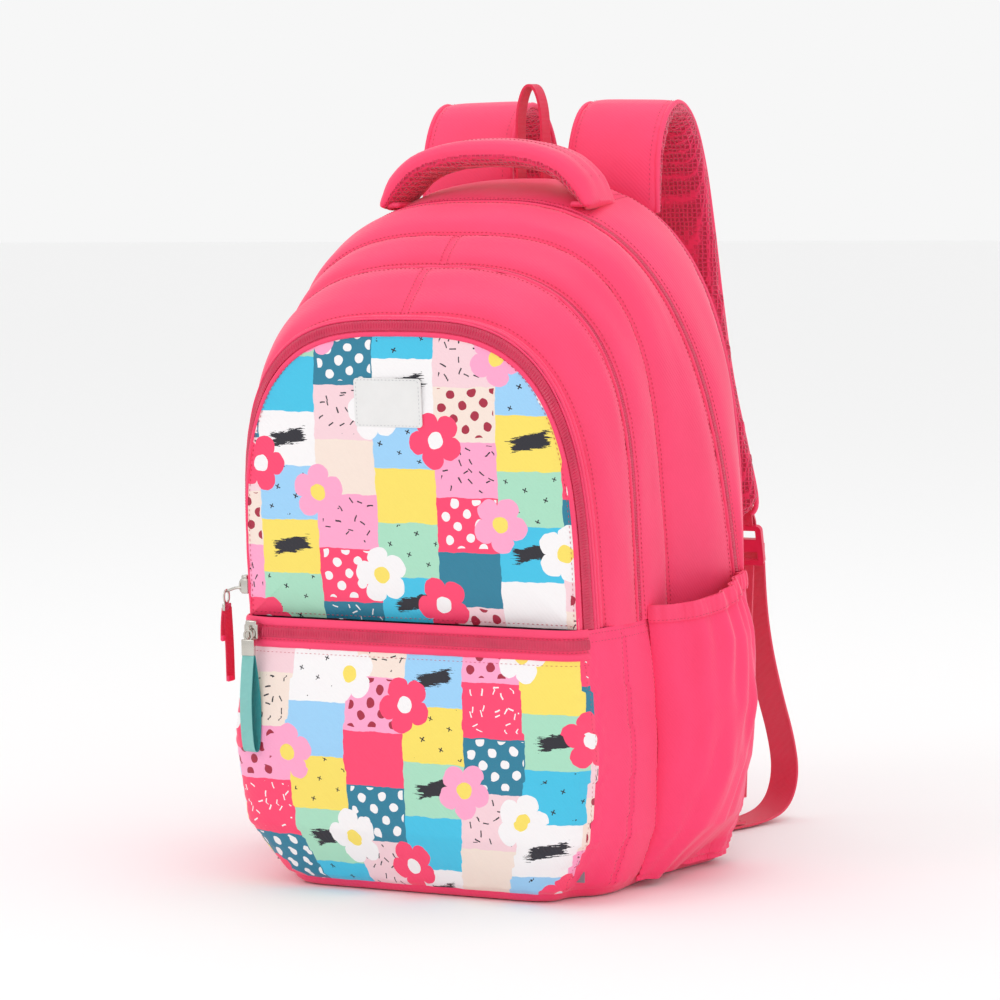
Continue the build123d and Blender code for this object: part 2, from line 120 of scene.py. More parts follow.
def shade(tree, shader, at, colour, darker, patch, strength=1.0):
    """Uneven colour and roughness over patches of a size in metres."""
    cloud = add_node(tree, "ShaderNodeTexNoise", at, None, 1 / patch, 4.0, 0.6).outputs[0]
    mix = add_node(tree, "ShaderNodeMix", cloud, data_type="RGBA", blend_type="MIX")
    mix.inputs[6].default_value, mix.inputs[7].default_value = linear(darker), linear(colour)
    sharp = add_node(tree, "ShaderNodeMapRange", cloud, 0.5 - 0.35 * strength, 0.5 + 0.35 * strength)
    tree.links.new(sharp.outputs[0], mix.inputs[0])
    if not shader.inputs["Base Color"].links:
        tree.links.new(mix.outputs[2], shader.inputs["Base Color"])
    rough = shader.inputs["Roughness"].default_value
    spread = add_node(tree, "ShaderNodeMapRange", cloud, 0.2, 0.8, rough - 0.06, rough + 0.06)
    tree.links.new(spread.outputs[0], shader.inputs["Roughness"])
    return mix.outputs[2]


def bump(tree, shader, *layers):
    """Heights laid over one another; each is (socket, distance in metres, strength)."""
    normal = None
    for height, distance, strength in layers:
        made = add_node(tree, "ShaderNodeBump", strength, distance)
        tree.links.new(height, made.inputs["Height"])
        if normal is not None:
            tree.links.new(normal, made.inputs["Normal"])
        normal = made.outputs[0]
    tree.links.new(normal, shader.inputs["Normal"])


def wave(tree, at, pitch, direction="DIAGONAL", distortion=0.0, profile="SIN"):
    """Ridges at a pitch in metres."""
    reach = math.sqrt(3) if direction == "DIAGONAL" else 1.0
    scale = 2 * math.pi / (20 * pitch * reach) * 2
    return add_node(
        tree, "ShaderNodeTexWave", at, scale, distortion, bands_direction=direction, wave_profile=profile
    ).outputs[1]


def twill(name, colour, darker, rough, sheen, at_kind=object_at, pitch=0.0018):
    """Woven polyester; the weave is about three times coarser than the real one so that it shows."""
    made, shader, tree = new_material(name, colour, rough, Sheen_Weight=sheen, Sheen_Roughness=0.4, IOR=1.45)
    at = at_kind(tree)
    shade(tree, shader, at, colour, darker, 0.05)
    fine = add_node(tree, "ShaderNodeTexNoise", at, None, 900.0, 2.0, 0.5).outputs[0]
    soft = add_node(tree, "ShaderNodeTexNoise", at, None, 34.0, 3.0, 0.55).outputs[0]
    bump(tree, shader, (wave(tree, at, pitch), 0.0003, 0.22), (fine, 0.0003, 0.18), (soft, 0.003, 0.16))
    return made


def mesh_cloth(name, colour, darker):
    """Air mesh: a honeycomb of holes between raised knitted walls, at 3.2 mm; the holes are darkened by painted
    shade.
    """
    made, shader, tree = new_material(name, colour, 0.75, Sheen_Weight=0.3, Sheen_Roughness=0.5)
    at = object_at(tree)
    cells = add_node(tree, "ShaderNodeTexVoronoi", at, None, 310.0, feature="DISTANCE_TO_EDGE")
    cells.inputs["Randomness"].default_value = 0.25
    wall = add_node(tree, "ShaderNodeMapRange", cells.outputs[0], 0.05, 0.3).outputs[0]
    # painted shade: each cell turns to the darker pink towards its middle, the hole, where shade falls
    mix = add_node(tree, "ShaderNodeMix", wall, data_type="RGBA")
    mix.inputs[6].default_value, mix.inputs[7].default_value = linear(colour), linear(darker)
    tree.links.new(mix.outputs[2], shader.inputs["Base Color"])
    shade(tree, shader, at, colour, darker, 0.03)
    low = calc(tree, "SUBTRACT", 1.0, wall)
    bump(tree, shader, (low, 0.0012, 0.9))
    return made


def ribbed(name, colour, darker, rough, pitch, sheen=0.25):
    """Webbing or ribbon with ribs across it, laid out on its UV map."""
    made, shader, tree = new_material(name, colour, rough, Sheen_Weight=sheen, Sheen_Roughness=0.45)
    at = uv_at(tree)
    shade(tree, shader, at, colour, darker, 0.02)
    along = wave(tree, at, pitch, "Y")
    across = wave(tree, at, pitch * 1.3, "X")
    bump(tree, shader, (along, 0.0007, 0.7), (across, 0.0004, 0.4))
    return made


def moulded(name, colour, darker, rough, grain, tall, **sockets):
    """A hard or skinned surface with a fine grain of its own."""
    made, shader, tree = new_material(name, colour, rough, **sockets)
    at = object_at(tree)
    shade(tree, shader, at, colour, darker, 0.02)
    bits = add_node(tree, "ShaderNodeTexNoise", at, None, 1 / grain, 3.0, 0.6).outputs[0]
    bump(tree, shader, (bits, tall, 0.35))
    return made


pink = twill("polyester_twill_hot_pink", "#FE4675", "#F63C6A", 0.56, 0.2)
panel_pink = twill("polyester_twill_pink_side", "#FF4176", "#F8386B", 0.58, 0.2)
lining = twill("polyester_lining_grey", "#8C8C94", "#7C7C84", 0.7, 0.1)
thread = moulded("bonded_thread_pink", "#CC1C47", "#B9153D", 0.5, 0.0005, 0.0001, Sheen_Weight=0.3)
coil = moulded("nylon_zip_coil_pink", "#E02C59", "#BD1B47", 0.38, 0.001, 0.0001, Coat_Weight=0.2)
mesh_fabric = mesh_cloth("air_mesh_deep_pink", "#F52C62", "#C40E40")
webbing = ribbed("ribbed_webbing_pink", "#FF2358", "#F31A4D", 0.6, 0.0018)
nickel = moulded("nickel_plated_zinc", "#D6D2CB", "#B9B4AB", 0.2, 0.0008, 0.00004, Metallic=1.0)
acetal = moulded("moulded_acetal_pink", "#F0305C", "#E02650", 0.34, 0.0006, 0.00005, Coat_Weight=0.15)
teal = ribbed("woven_ribbon_turquoise", "#9BE3DC", "#84D6CF", 0.55, 0.0016)
deep_teal = ribbed("woven_ribbon_turquoise_back", "#19A7A8", "#0E8F93", 0.55, 0.0016)
white = moulded("coated_leatherette_white", "#ECEBEA", "#E2E1E0", 0.42, 0.0014, 0.0001, Coat_Weight=0.1)
patch_thread = moulded("bonded_thread_grey", "#B9B9BE", "#AEAEB4", 0.5, 0.0005, 0.0001)
foam = moulded("closed_cell_foam", "#D8D8D0", "#C9C9C0", 0.9, 0.001, 0.0003)
board = moulded("polyethylene_board", "#C8C8C8", "#BEBEBE", 0.5, 0.002, 0.0001)


# ---- printed cloth ----
# Each layer is laid over the ones before it: its kind, middle x and height, width and height in mm,
# turn in degrees, colour, and what its kind needs more (petals, pitch or arc ends).
HOT, SKY, SUN, MINT, AQUA = "#FF3F6E", "#9BD0F6", "#F9E063", "#A8DEC2", "#3CC2E6"
INK, WINE, SNOW, BLUSH, DEEP = "#1C1A26", "#A81B3B", "#F6F3F4", "#F6D2D9", "#1F7C99"
CANDY, CREAM, GROUND_LOW = "#FDA5CB", "#F5E2D6", "#B4E3DD"
PATCHES = (HOT, SKY, BLUSH, MINT, CANDY, SNOW, DEEP, SUN, CREAM, AQUA)
PATCH_WIDE, PATCH_TALL = 44, 36


def patchwork(half, low, high, first):
    """A plain half-drop patchwork with dots, crosses, dashes and strokes, and round blooms in a repeat."""
    patches, blooms = [], []
    for column in range(int(2 * half / PATCH_WIDE) + 2):
        for tier in range(-1, int((high - low) / PATCH_TALL) + 2):
            x, z = column * PATCH_WIDE - half, low + (tier + 0.5 * (column % 2)) * PATCH_TALL
            colour = PATCHES[(first + 3 * column + 4 * tier) % len(PATCHES)]
            patches.append(("block", x, z, PATCH_WIDE + 2, PATCH_TALL + 2, 0, colour))
            over = SNOW if colour in (DEEP, HOT) else INK
            marks = (
                ("dots", x, z, 40, 32, 0, SNOW if colour in (DEEP, HOT) else WINE, 11.0, 0.28),
                ("pluses", x, z, 40, 32, 0, over, 15.0), ("dashes", x, z, 38, 30, 0, over, 8.0),
                ("brush", x, z, 28, 10, 12, over),
            )
            if (column + tier) % 5:
                patches.append(marks[(first + column + 2 * tier) % 4])
            if (column + tier) % 3 == 0:
                petal, heart = ((HOT, SNOW), (CANDY, SUN), (SNOW, SUN))[(column + first) % 3]
                blooms.append(("bloom", x + PATCH_WIDE / 2, z, 38, 38, 15 * column, petal, 5))
                blooms.append(("disc", x + PATCH_WIDE / 2, z, 11, 11, 0, heart))
    return patches + blooms


def local(tree, at, layer):
    """Coordinates in a layer's own frame: 1 at its half width and half height."""
    _, x, z, wide, tall, turn = layer[:6]
    made = add_node(
        tree, "ShaderNodeMapping", at, (x, z, 0), (0, 0, math.radians(turn)), (wide / 2, tall / 2, 1),
        vector_type="TEXTURE"
    )
    return made.outputs[0]


def split_xy(tree, vector):
    """The two parts of a flat vector."""
    made = add_node(tree, "ShaderNodeSeparateXYZ", vector)
    return made.outputs[0], made.outputs[1]


def vector_step(tree, operation, *values):
    """One step of vector arithmetic."""
    made = add_node(tree, "ShaderNodeVectorMath", *values, operation=operation)
    return made.outputs["Value"] if operation in ("LENGTH", "DOT_PRODUCT") else made.outputs[0]


def inside_box(tree, vector):
    """1 where both parts of a vector are within -1 and 1."""
    x, y = split_xy(tree, vector_step(tree, "ABSOLUTE", vector))
    return calc(tree, "LESS_THAN", calc(tree, "MAXIMUM", x, y), 1.0)


def cell(tree, at, pitch, turn):
    """Coordinates from -1 to 1 inside each cell of a turned lattice."""
    turned = add_node(tree, "ShaderNodeMapping", at, None, (0, 0, math.radians(turn)), (1 / pitch,) * 3)
    wrapped = vector_step(tree, "WRAP", turned.outputs[0], (0.5, 0.5, 0.5), (-0.5, -0.5, -0.5))
    return vector_step(tree, "MULTIPLY", wrapped, (2, 2, 0))


def layer_mask(tree, at, rough, layer):
    """Where a layer's ink lies, 0 or 1."""
    kind, _, _, wide, tall, turn = layer[:6]
    more = layer[7:]
    own = local(tree, at, layer)
    if kind == "block":
        return inside_box(tree, own)
    if kind == "disc":
        return calc(tree, "LESS_THAN", vector_step(tree, "LENGTH", own), 1.0)
    if kind == "brush":
        x, y = split_xy(tree, vector_step(tree, "ABSOLUTE", own))
        edge = calc(tree, "ADD", calc(tree, "MAXIMUM", x, y), rough)
        return calc(tree, "LESS_THAN", edge, 1.0)
    x, y = split_xy(tree, own)
    far = vector_step(tree, "LENGTH", own)
    angle = calc(tree, "ARCTAN2", y, x)
    if kind == "bloom":
        petal = calc(tree, "ABSOLUTE", calc(tree, "COSINE", calc(tree, "MULTIPLY", angle, more[0] / 2)))
        edge = calc(tree, "MULTIPLY_ADD", calc(tree, "POWER", petal, 0.6), 0.34, 0.66)
        return calc(tree, "LESS_THAN", far, edge)
    if kind == "rays":
        ray = calc(tree, "GREATER_THAN", calc(tree, "COSINE", calc(tree, "MULTIPLY", angle, more[0])), 0.93)
        return calc(tree, "MULTIPLY", ray, calc(tree, "LESS_THAN", far, 0.95))
    if kind == "arc":
        ring = calc(tree, "LESS_THAN", calc(tree, "ABSOLUTE", calc(tree, "SUBTRACT", far, 0.95)),
            1.3 / (wide + tall) * 1.6)
        middle, half = (more[0] + more[1]) / 2, (more[1] - more[0]) / 2
        off = calc(tree, "WRAP", calc(tree, "SUBTRACT", angle, math.radians(middle)), math.pi, -math.pi)
        return calc(tree, "MULTIPLY", ring, calc(tree, "LESS_THAN", calc(tree, "ABSOLUTE", off),
            math.radians(half)))
    region = inside_box(tree, own)
    if kind == "dots":
        pattern = calc(tree, "LESS_THAN", vector_step(tree, "LENGTH", cell(tree, at, more[0], turn + 38)),
            more[1] * 2)
    elif kind in ("pluses", "grid"):
        place = vector_step(tree, "ABSOLUTE", cell(tree, at, more[0], turn + (24 if kind == "pluses" else 3)))
        x, y = split_xy(tree, place)
        thin = calc(tree, "LESS_THAN", calc(tree, "MINIMUM", x, y), 0.05 if kind == "pluses" else 0.03)
        reach = 0.24 if kind == "pluses" else 2.0
        pattern = calc(tree, "MULTIPLY", thin, calc(tree, "LESS_THAN", calc(tree, "MAXIMUM", x, y), reach))
    elif kind == "dashes":
        cells = add_node(tree, "ShaderNodeTexVoronoi", at, None, 1 / more[0], voronoi_dimensions="2D")
        offset = vector_step(tree, "SUBTRACT", at, cells.outputs["Position"])
        hue = add_node(tree, "ShaderNodeSeparateColor", cells.outputs["Color"]).outputs[0]
        turned = add_node(tree, "ShaderNodeVectorRotate", rotation_type="Z_AXIS")
        tree.links.new(offset, turned.inputs["Vector"])
        tree.links.new(calc(tree, "MULTIPLY", hue, 3.14), turned.inputs["Angle"])
        pattern = inside_box(tree, vector_step(tree, "DIVIDE", turned.outputs[0], (more[0] * 0.26, 0.45, 1)))
    else:
        swing = calc(tree, "MULTIPLY", calc(tree, "SINE", calc(tree, "MULTIPLY", x, 5.0)), 0.3)
        phase = calc(tree, "MULTIPLY", calc(tree, "ADD", y, swing), tall * math.pi / more[0])
        limit = 0.965 if kind == "waves" else 0.25
        wide_noise = calc(tree, "MULTIPLY", rough, 2.0 if kind == "streaks" else 0.0)
        pattern = calc(tree, "GREATER_THAN", calc(tree, "ADD", calc(tree, "COSINE", phase), wide_noise),
            limit)
    return calc(tree, "MULTIPLY", region, pattern)


def printed_cloth(name, ground, layers):
    """Polyester printed with a collage of painted blocks, blooms and marks, laid out on the UV map."""
    made, shader, tree = new_material(name, ground, 0.5, Sheen_Weight=0.15, Sheen_Roughness=0.4,
        Coat_Weight=0.05)
    flat = vector_step(tree, "SCALE", uv_at(tree))
    flat.node.inputs["Scale"].default_value = 1000
    wander = add_node(tree, "ShaderNodeTexNoise", flat, None, 0.09, 2.0, 0.6).outputs["Color"]
    at = vector_step(tree, "MULTIPLY_ADD", wander, (3.2, 3.2, 0), flat)
    at = vector_step(tree, "SUBTRACT", at, (1.6, 1.6, 0))
    stretched = vector_step(tree, "MULTIPLY", flat, (0.09, 0.8, 1))
    grainy = add_node(tree, "ShaderNodeTexNoise", stretched, None, 1.0, 3.0, 0.7).outputs[0]
    rough = calc(tree, "MULTIPLY_ADD", grainy, 1.7, -0.75)
    colour = None
    for layer in layers:
        mix = add_node(tree, "ShaderNodeMix", layer_mask(tree, at, rough, layer), data_type="RGBA")
        mix.inputs[6].default_value = linear(ground)
        mix.inputs[7].default_value = linear(layer[6])
        if colour is not None:
            tree.links.new(colour, mix.inputs[6])
        colour = mix.outputs[2]
    tree.links.new(colour, shader.inputs["Base Color"])
    where = object_at(tree)
    fine = add_node(tree, "ShaderNodeTexNoise", where, None, 900.0, 2.0, 0.5).outputs[0]
    bump(tree, shader, (wave(tree, where, 0.0018), 0.0003, 0.2), (fine, 0.0003, 0.15))
    return made


REGION = 80.0  # a print's shader is made for one square of cloth at a time


def print_over(obj, name, ground, layers):
    """Prints the outer faces of a panel, with a material for each square that holds only its layers."""
    outer = obj.data.materials.find(printed_blank.name)
    uv = obj.data.uv_layers.active.data
    slots = {}
    for face in obj.data.polygons:
        if face.material_index != outer:
            continue
        at = sum((uv[i].uv for i in face.loop_indices), Vector((0, 0))) / face.loop_total / MM
        square = (math.floor(at.x / REGION), math.floor(at.y / REGION))
        if square not in slots:
            middle = [(n + 0.5) * REGION for n in square]
            near = [
                layer for layer in layers
                if max(abs(layer[1] - middle[0]),
                abs(layer[2] - middle[1])) < REGION / 2 + 5 + math.hypot(*layer[3:5]) / 2
            ]
            label = f"{name}_{len(slots)}"
            obj.data.materials.append(printed_cloth(label, ground, near))
            slots[square] = len(obj.data.materials) - 1
        face.material_index = slots[square]


printed_blank, _, _ = new_material("printed_polyester_blank", GROUND_LOW, 0.5)


# ---- making pieces ----
def smoothstep(x):
    """0 to 1 with flat ends."""
    x = min(max(x, 0.0), 1.0)
    return x * x * (3 - 2 * x)


def active(obj):
    """Selects one object alone and makes it active."""
    bpy.ops.object.select_all(action="DESELECT")
    obj.select_set(True)
    bpy.context.view_layer.objects.active = obj


def apply_modifier(obj, kind, **settings):
    """Adds a modifier and applies it."""
    active(obj)
    made = obj.modifiers.new(kind, kind)
    for key, value in settings.items():
        setattr(made, key, value)
    bpy.ops.object.modifier_apply(modifier=made.name)


def edit(obj, *operations):
    """Runs edit mode operators on the whole mesh."""
    active(obj)
    bpy.ops.object.mode_set(mode="EDIT")
    bpy.ops.mesh.select_all(action="SELECT")
    for operation, settings in operations:
        operation(**settings)
    bpy.ops.object.mode_set(mode="OBJECT")


def cloth_grid(name, across, along, place, size=(1.0, 1.0), closed=False, corner=(0.0, 0.0)):
    """A grid that place(u, v) shapes, in mm, with a UV map in metres of real cloth."""
    bpy.ops.mesh.primitive_grid_add(x_subdivisions=across, y_subdivisions=along, size=1)
    made = bpy.context.object
    made.name = name
    for vertex in made.data.vertices:
        u, v = vertex.co.x + 0.5, vertex.co.y + 0.5
        vertex.co = Vector(place(u, v)) * MM
    for loop in made.data.uv_layers.active.data:
        loop.uv = ((corner[0] + loop.uv[0] * size[0]) * MM, (corner[1] + loop.uv[1] * size[1]) * MM)
    if closed:
        edit(made, (bpy.ops.mesh.remove_doubles, {"threshold": 0.00001}))
    return made


def face_out(obj, centre=(0, 0, 0.23)):
    """Turns an open sheet's faces away from the middle of the bag."""
    total = sum(f.normal.dot(f.center - Vector(centre)) * f.area for f in obj.data.polygons)
    if total < 0:
        edit(obj, (bpy.ops.mesh.flip_normals, {}))


def give_wall(obj, thick, *materials):
    """Gives a sheet its thickness on the inner side, a second material there if one is given, and smooth shading."""
    for material in materials:
        obj.data.materials.append(material)
    inner = 1 if len(materials) > 1 else 0
    apply_modifier(
        obj, "SOLIDIFY", thickness=thick * MM, offset=-1, material_offset=inner, use_quality_normals=True
    )
    active(obj)
    bpy.ops.object.shade_smooth_by_angle(angle=math.radians(50))


def join(objects):
    """Joins objects into the first one."""
    bpy.ops.object.select_all(action="DESELECT")
    for obj in objects:
        obj.select_set(True)
    bpy.context.view_layer.objects.active = objects[0]
    bpy.ops.object.join()
    return objects[0]


def mesh_of(name, verts, faces, *materials):
    """A mesh from its corners in mm and its faces."""
    data = bpy.data.meshes.new(name)
    data.from_pydata([Vector(v) * MM for v in verts], [], faces)
    made = bpy.data.objects.new(name, data)
    bpy.context.collection.objects.link(made)
    for material in materials:
        data.materials.append(material)
    return made


def stitches(name, points, out, pitch=3.2, length=2.3, thick=0.55):
    """A row of small stitches along points in mm; out(point) is the way they stand off."""
    verts, faces, gone, step = [], [], 0.0, pitch / 2
    for a, b in zip(points, points[1:]):
        run = b - a
        while step <= gone + run.length:
            at = a + run * ((step - gone) / run.length)
            along = run.normalized() * length / 2
            up = out(at) * thick * 0.5
            side = along.cross(up).normalized() * thick * 0.45
            n = len(verts)
            verts += [at - along, at + side, at + up, at - side, at + along, at - up]
            faces += [(n, n + 1, n + 2), (n, n + 2, n + 3), (n + 4, n + 2, n + 1), (n + 4, n + 3, n + 2)]
            faces += [(n, n + 5, n + 1), (n, n + 3, n + 5), (n + 4, n + 1, n + 5), (n + 4, n + 5, n + 3)]
            step += pitch
        gone += run.length
    return mesh_of(name, verts, faces, thread)


# ---- the bag's outlines ----
def arch_table(arch):
    """Evenly spaced points of an arch from its left foot to its right foot, in mm."""
    wide, top, straight, square, depth, lean = arch
    line = [(-wide, FOLD_Z + (straight - FOLD_Z) * i / 20) for i in range(20)]
    for i in range(SAMPLES + 1):
        angle = math.pi * (1 - i / SAMPLES)
        x = abs(math.cos(angle)) ** (2 / square) * wide * (1 if math.cos(angle) > 0 else -1)
        line.append((x, straight + (top - straight) * math.sin(angle) ** (2 / square)))
    line += [(wide, straight + (FOLD_Z - straight) * (i + 1) / 20) for i in range(20)]
    points = [Vector((x, depth + lean * (top - z), z)) for x, z in line]
    lengths = [0.0]
    for a, b in zip(points, points[1:]):
        lengths.append(lengths[-1] + (b - a).length)
    even, k = [], 0
    for i in range(SAMPLES + 1):
        want = lengths[-1] * i / SAMPLES
        while k < len(points) - 2 and lengths[k + 1] < want:
            k += 1
        share = (want - lengths[k]) / (lengths[k + 1] - lengths[k])
        even.append(points[k].lerp(points[k + 1], share))
    return even


TABLES = {}


def arch_at(arch, t):
    """A point of an arch, t from 0 at its left foot to 1 at its right foot."""
    if arch not in TABLES:
        TABLES[arch] = arch_table(arch)
    table = TABLES[arch]
    place = min(max(t, 0.0), 1.0) * SAMPLES
    k = min(int(place), SAMPLES - 1)
    return table[k].lerp(table[k + 1], place - k)


def moved_arch(arch, deeper, larger):
    """An arch moved back and made a little larger all round."""
    wide, top, straight, square, depth, lean = arch
    return (wide + larger * 0.5, top + larger, straight, square, depth + deeper, lean)


def arch_length(arch):
    """Length of an arch's line in mm."""
    table = [arch_at(arch, i / 40) for i in range(41)]
    return sum((b - a).length for a, b in zip(table, table[1:]))


def between_arches(low, high):
    """place(u, v) straight across from the front arch at v 0 to the back arch at v 1."""
    return lambda u, v: arch_at(low, u).lerp(arch_at(high, u), v)


def raised(base, lift):
    """place(u, v) that stands lift(u, v) mm off another one, along its own way out."""
    def place(u, v):
        ahead = base(min(u + 0.002, 1), v) - base(max(u - 0.002, 0), v)
        aside = base(u, min(v + 0.02, 1)) - base(u, max(v - 0.02, 0))
        return base(u, v) + ahead.cross(aside).normalized() * lift(u, v)
    return place


def ridge(v, middle, half):
    """A round ridge across v, 1 at its middle and 0 beyond half."""
    return math.sqrt(max(0.0, 1 - ((v - middle) / half) ** 2))


def cloth_lift(length, puff, seed, seam_at=(), ripple=1.0):
    """Swell of a sewn strip: full between its seams, puckered at them, with soft folds."""
    def lift(u, v):
        edge = min(v, 1 - v)
        swell = puff * (1 - abs(2 * v - 1) ** 3)
        near = max(0.0, 1 - edge / 0.2) ** 2
        pucker = ripple * near * noise.noise(Vector((u * length / 9, v * 2, seed)))
        fold = 2.2 * noise.noise(Vector((u * length / 70, v * 1.6, seed + 5))) * min(1, edge * 5)
        groove = sum(1.5 * math.exp(-(((u - at) * length / 1.8) ** 2)) for at in seam_at) * min(1, edge * 8)
        hollow = sum(1.2 * math.exp(-(((u - at) * length / 9) ** 2)) for at in seam_at)
        return swell + pucker * 0.8 + fold - groove - hollow * min(1, edge * 6)
    return lift


def row(place, v, lift=0.3, start=0.0, end=1.0, count=240):
    """Points along a surface at one v."""
    over = raised(place, lambda u, w: lift)
    return [over(start + (end - start) * i / count, v) for i in range(count + 1)]


def column(place, u, low=0.03, high=0.97, lift=0.3, count=40):
    """Points across a surface at one u."""
    over = raised(place, lambda w, v: lift)
    return [over(u, low + (high - low) * i / count) for i in range(count + 1)]


def outwards(centre=(0, 0, 230)):
    """Way out from a middle point, for stitches."""
    return lambda point: (point - Vector(centre)).normalized()


def strip(name, low, high, puff, depth, seed, seams=(0.06, 0.94), centre_seams=(), across=260, rows=20):
    """A lined strip between two arches, with stitches along its edges and its cross seams."""
    length = arch_length(low)
    place = raised(between_arches(low, high), cloth_lift(length, puff, seed, centre_seams))
    made = cloth_grid(name, across, rows, place, (length, depth))
    face_out(made)
    give_wall(made, 1.2, pink, lining)
    threads = [stitches(name + "_edge", row(place, v), outwards()) for v in seams]
    for at in centre_seams:
        for side in (-2.6, 2.6):
            line = column(place, at + side / length)
            threads.append(stitches(name + "_cross", line, outwards(), pitch=2.9))
    return join([made] + threads)


def zip_band(name, base, length, welts=((0.12, 0.12), (0.88, 0.12)), teeth=(0.28, 0.72), seed=0.0):
    """A zip seen from outside: two turned welts and, between them, the coil's real ridges."""
    def welt_lift(u, v):
        roll = sum(1.5 * ridge(v, middle, half) for middle, half in welts)
        return roll + 0.25 * noise.noise(Vector((u * length / 12, v, seed)))
    def coil_lift(u, v):
        tooth = 0.5 + 0.5 * math.cos(2 * math.pi * u * length / ZIP_PITCH)
        return 0.5 + 1.3 * ridge(v, 0.5, 0.6) * (0.5 + 0.5 * tooth)
    place = raised(base, welt_lift)
    made = cloth_grid(name, 300, 28, place, (length, 18))
    face_out(made)
    give_wall(made, 0.9, pink)
    if teeth is None:
        return place, made
    teeth_base = lambda u, v: base(u, teeth[0] + (teeth[1] - teeth[0]) * v)
    coil_piece = cloth_grid(name + "_coil", int(length / ZIP_PITCH * 4), 6, raised(teeth_base, coil_lift))
    face_out(coil_piece)
    give_wall(coil_piece, 0.5, coil)
    return place, join([made, coil_piece])


def cut_at(obj, height):
    """Splits a closed piece at a height in mm and returns the lower and the upper part."""
    upper = obj.copy()
    upper.data = obj.data.copy()
    bpy.context.collection.objects.link(upper)
    for piece, below in ((obj, True), (upper, False)):
        active(piece)
        bpy.ops.object.mode_set(mode="EDIT")
        bpy.ops.mesh.select_all(action="SELECT")
        bpy.ops.mesh.bisect(
            plane_co=(0, 0, height * MM), plane_no=(0, 0, 1), use_fill=True, clear_inner=not below,
            clear_outer=below
        )
        bpy.ops.object.mode_set(mode="OBJECT")
        bpy.ops.object.shade_smooth_by_angle(angle=math.radians(50))
    return obj, upper


def on(obj, body, slot, *nodes):
    """A finished piece rides a body and stands for CAD nodes; slot is not used."""
    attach(obj, body)
    if nodes:
        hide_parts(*nodes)
    return obj


def bends(obj, a, b, low, high, slot, *nodes):
    """A finished piece keeps its place, baked into its mesh, and stands for CAD nodes; a, b, low, high and slot are
    not used.
    """
    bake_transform(obj)
    if nodes:
        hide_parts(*nodes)
    return obj


# ---- upper strips and arched zips ----
def upper_strips():
    """The four gussets and three arched zips, from the front to the back."""
    front_end = moved_arch(FRONT_ZIP, ZIP_WIDTH, 0)
    mid_end = moved_arch(MID_ZIP, ZIP_WIDTH, 0)
    main_end = moved_arch(MAIN_ZIP, ZIP_WIDTH, 1.5)

    gusset = strip("front_gusset_cloth", front_end, MID_ZIP, 4.5, 42, 1.0, centre_seams=(0.497,))
    lower, upper = cut_at(gusset, LID_SPLIT)
    lower.name, upper.name = "front_gusset_foot", "front_gusset_cloth"
    bends(lower, "bag", "main_lid", FOLD_Z, LID_SPLIT - 1, "pink_twill")
    bends(upper, "main_lid", "middle_lid", LID_SPLIT + 1, LID_TOP, "pink_twill", "front_gusset")

    length = arch_length(FRONT_ZIP)
    _, band = zip_band("front_zip_band", between_arches(FRONT_ZIP, front_end), length,
        ((0.2, 0.2), (0.75, 0.25)), None)
    lower, upper = cut_at(band, LID_SPLIT)
    lower.name, upper.name = "front_zip_foot", "front_zip_band"
    bends(lower, "bag", "main_lid", FOLD_Z, LID_SPLIT - 1, "pink_zip")
    bends(upper, "main_lid", "middle_lid", LID_SPLIT + 1, LID_TOP, "pink_zip", "front_zip")

    _, band = zip_band("middle_zip_band", between_arches(MID_ZIP, mid_end), arch_length(MID_ZIP), seed=3.0)
    bends(band, "bag", "main_lid", FOLD_Z + 2, SIDE_TOP, "pink_zip", "mid_zip")

    gusset = strip("middle_gusset_cloth", mid_end, SEAM, 4.0, 28, 7.0, centre_seams=(0.505,))
    bends(gusset, "bag", "main_lid", FOLD_Z + 2, SIDE_TOP, "pink_twill", "middle_gusset")

    gusset = strip("main_gusset_cloth", SEAM, MAIN_ZIP, 5.0, 60, 12.0, seams=(0.045, 0.95))
    bends(gusset, "bag", "main_lid", FOLD_Z + 2, SIDE_TOP, "pink_twill", "main_gusset", "side_folds")

    _, band = zip_band("main_zip_band", between_arches(MAIN_ZIP, main_end), arch_length(MAIN_ZIP), seed=6.0)
    on(band, "bag", "pink_zip", "main_zip")

    share = 75 / arch_length(BACK_EDGE)
    gusset = strip(
        "rear_gusset_cloth", main_end, BACK_EDGE, 4.0, 74, 17.0, seams=(0.04, 0.96),
        centre_seams=(0.5 - share, 0.5 + share), rows=26,
    )
    on(gusset, "bag", "pink_twill", "rear_gusset")


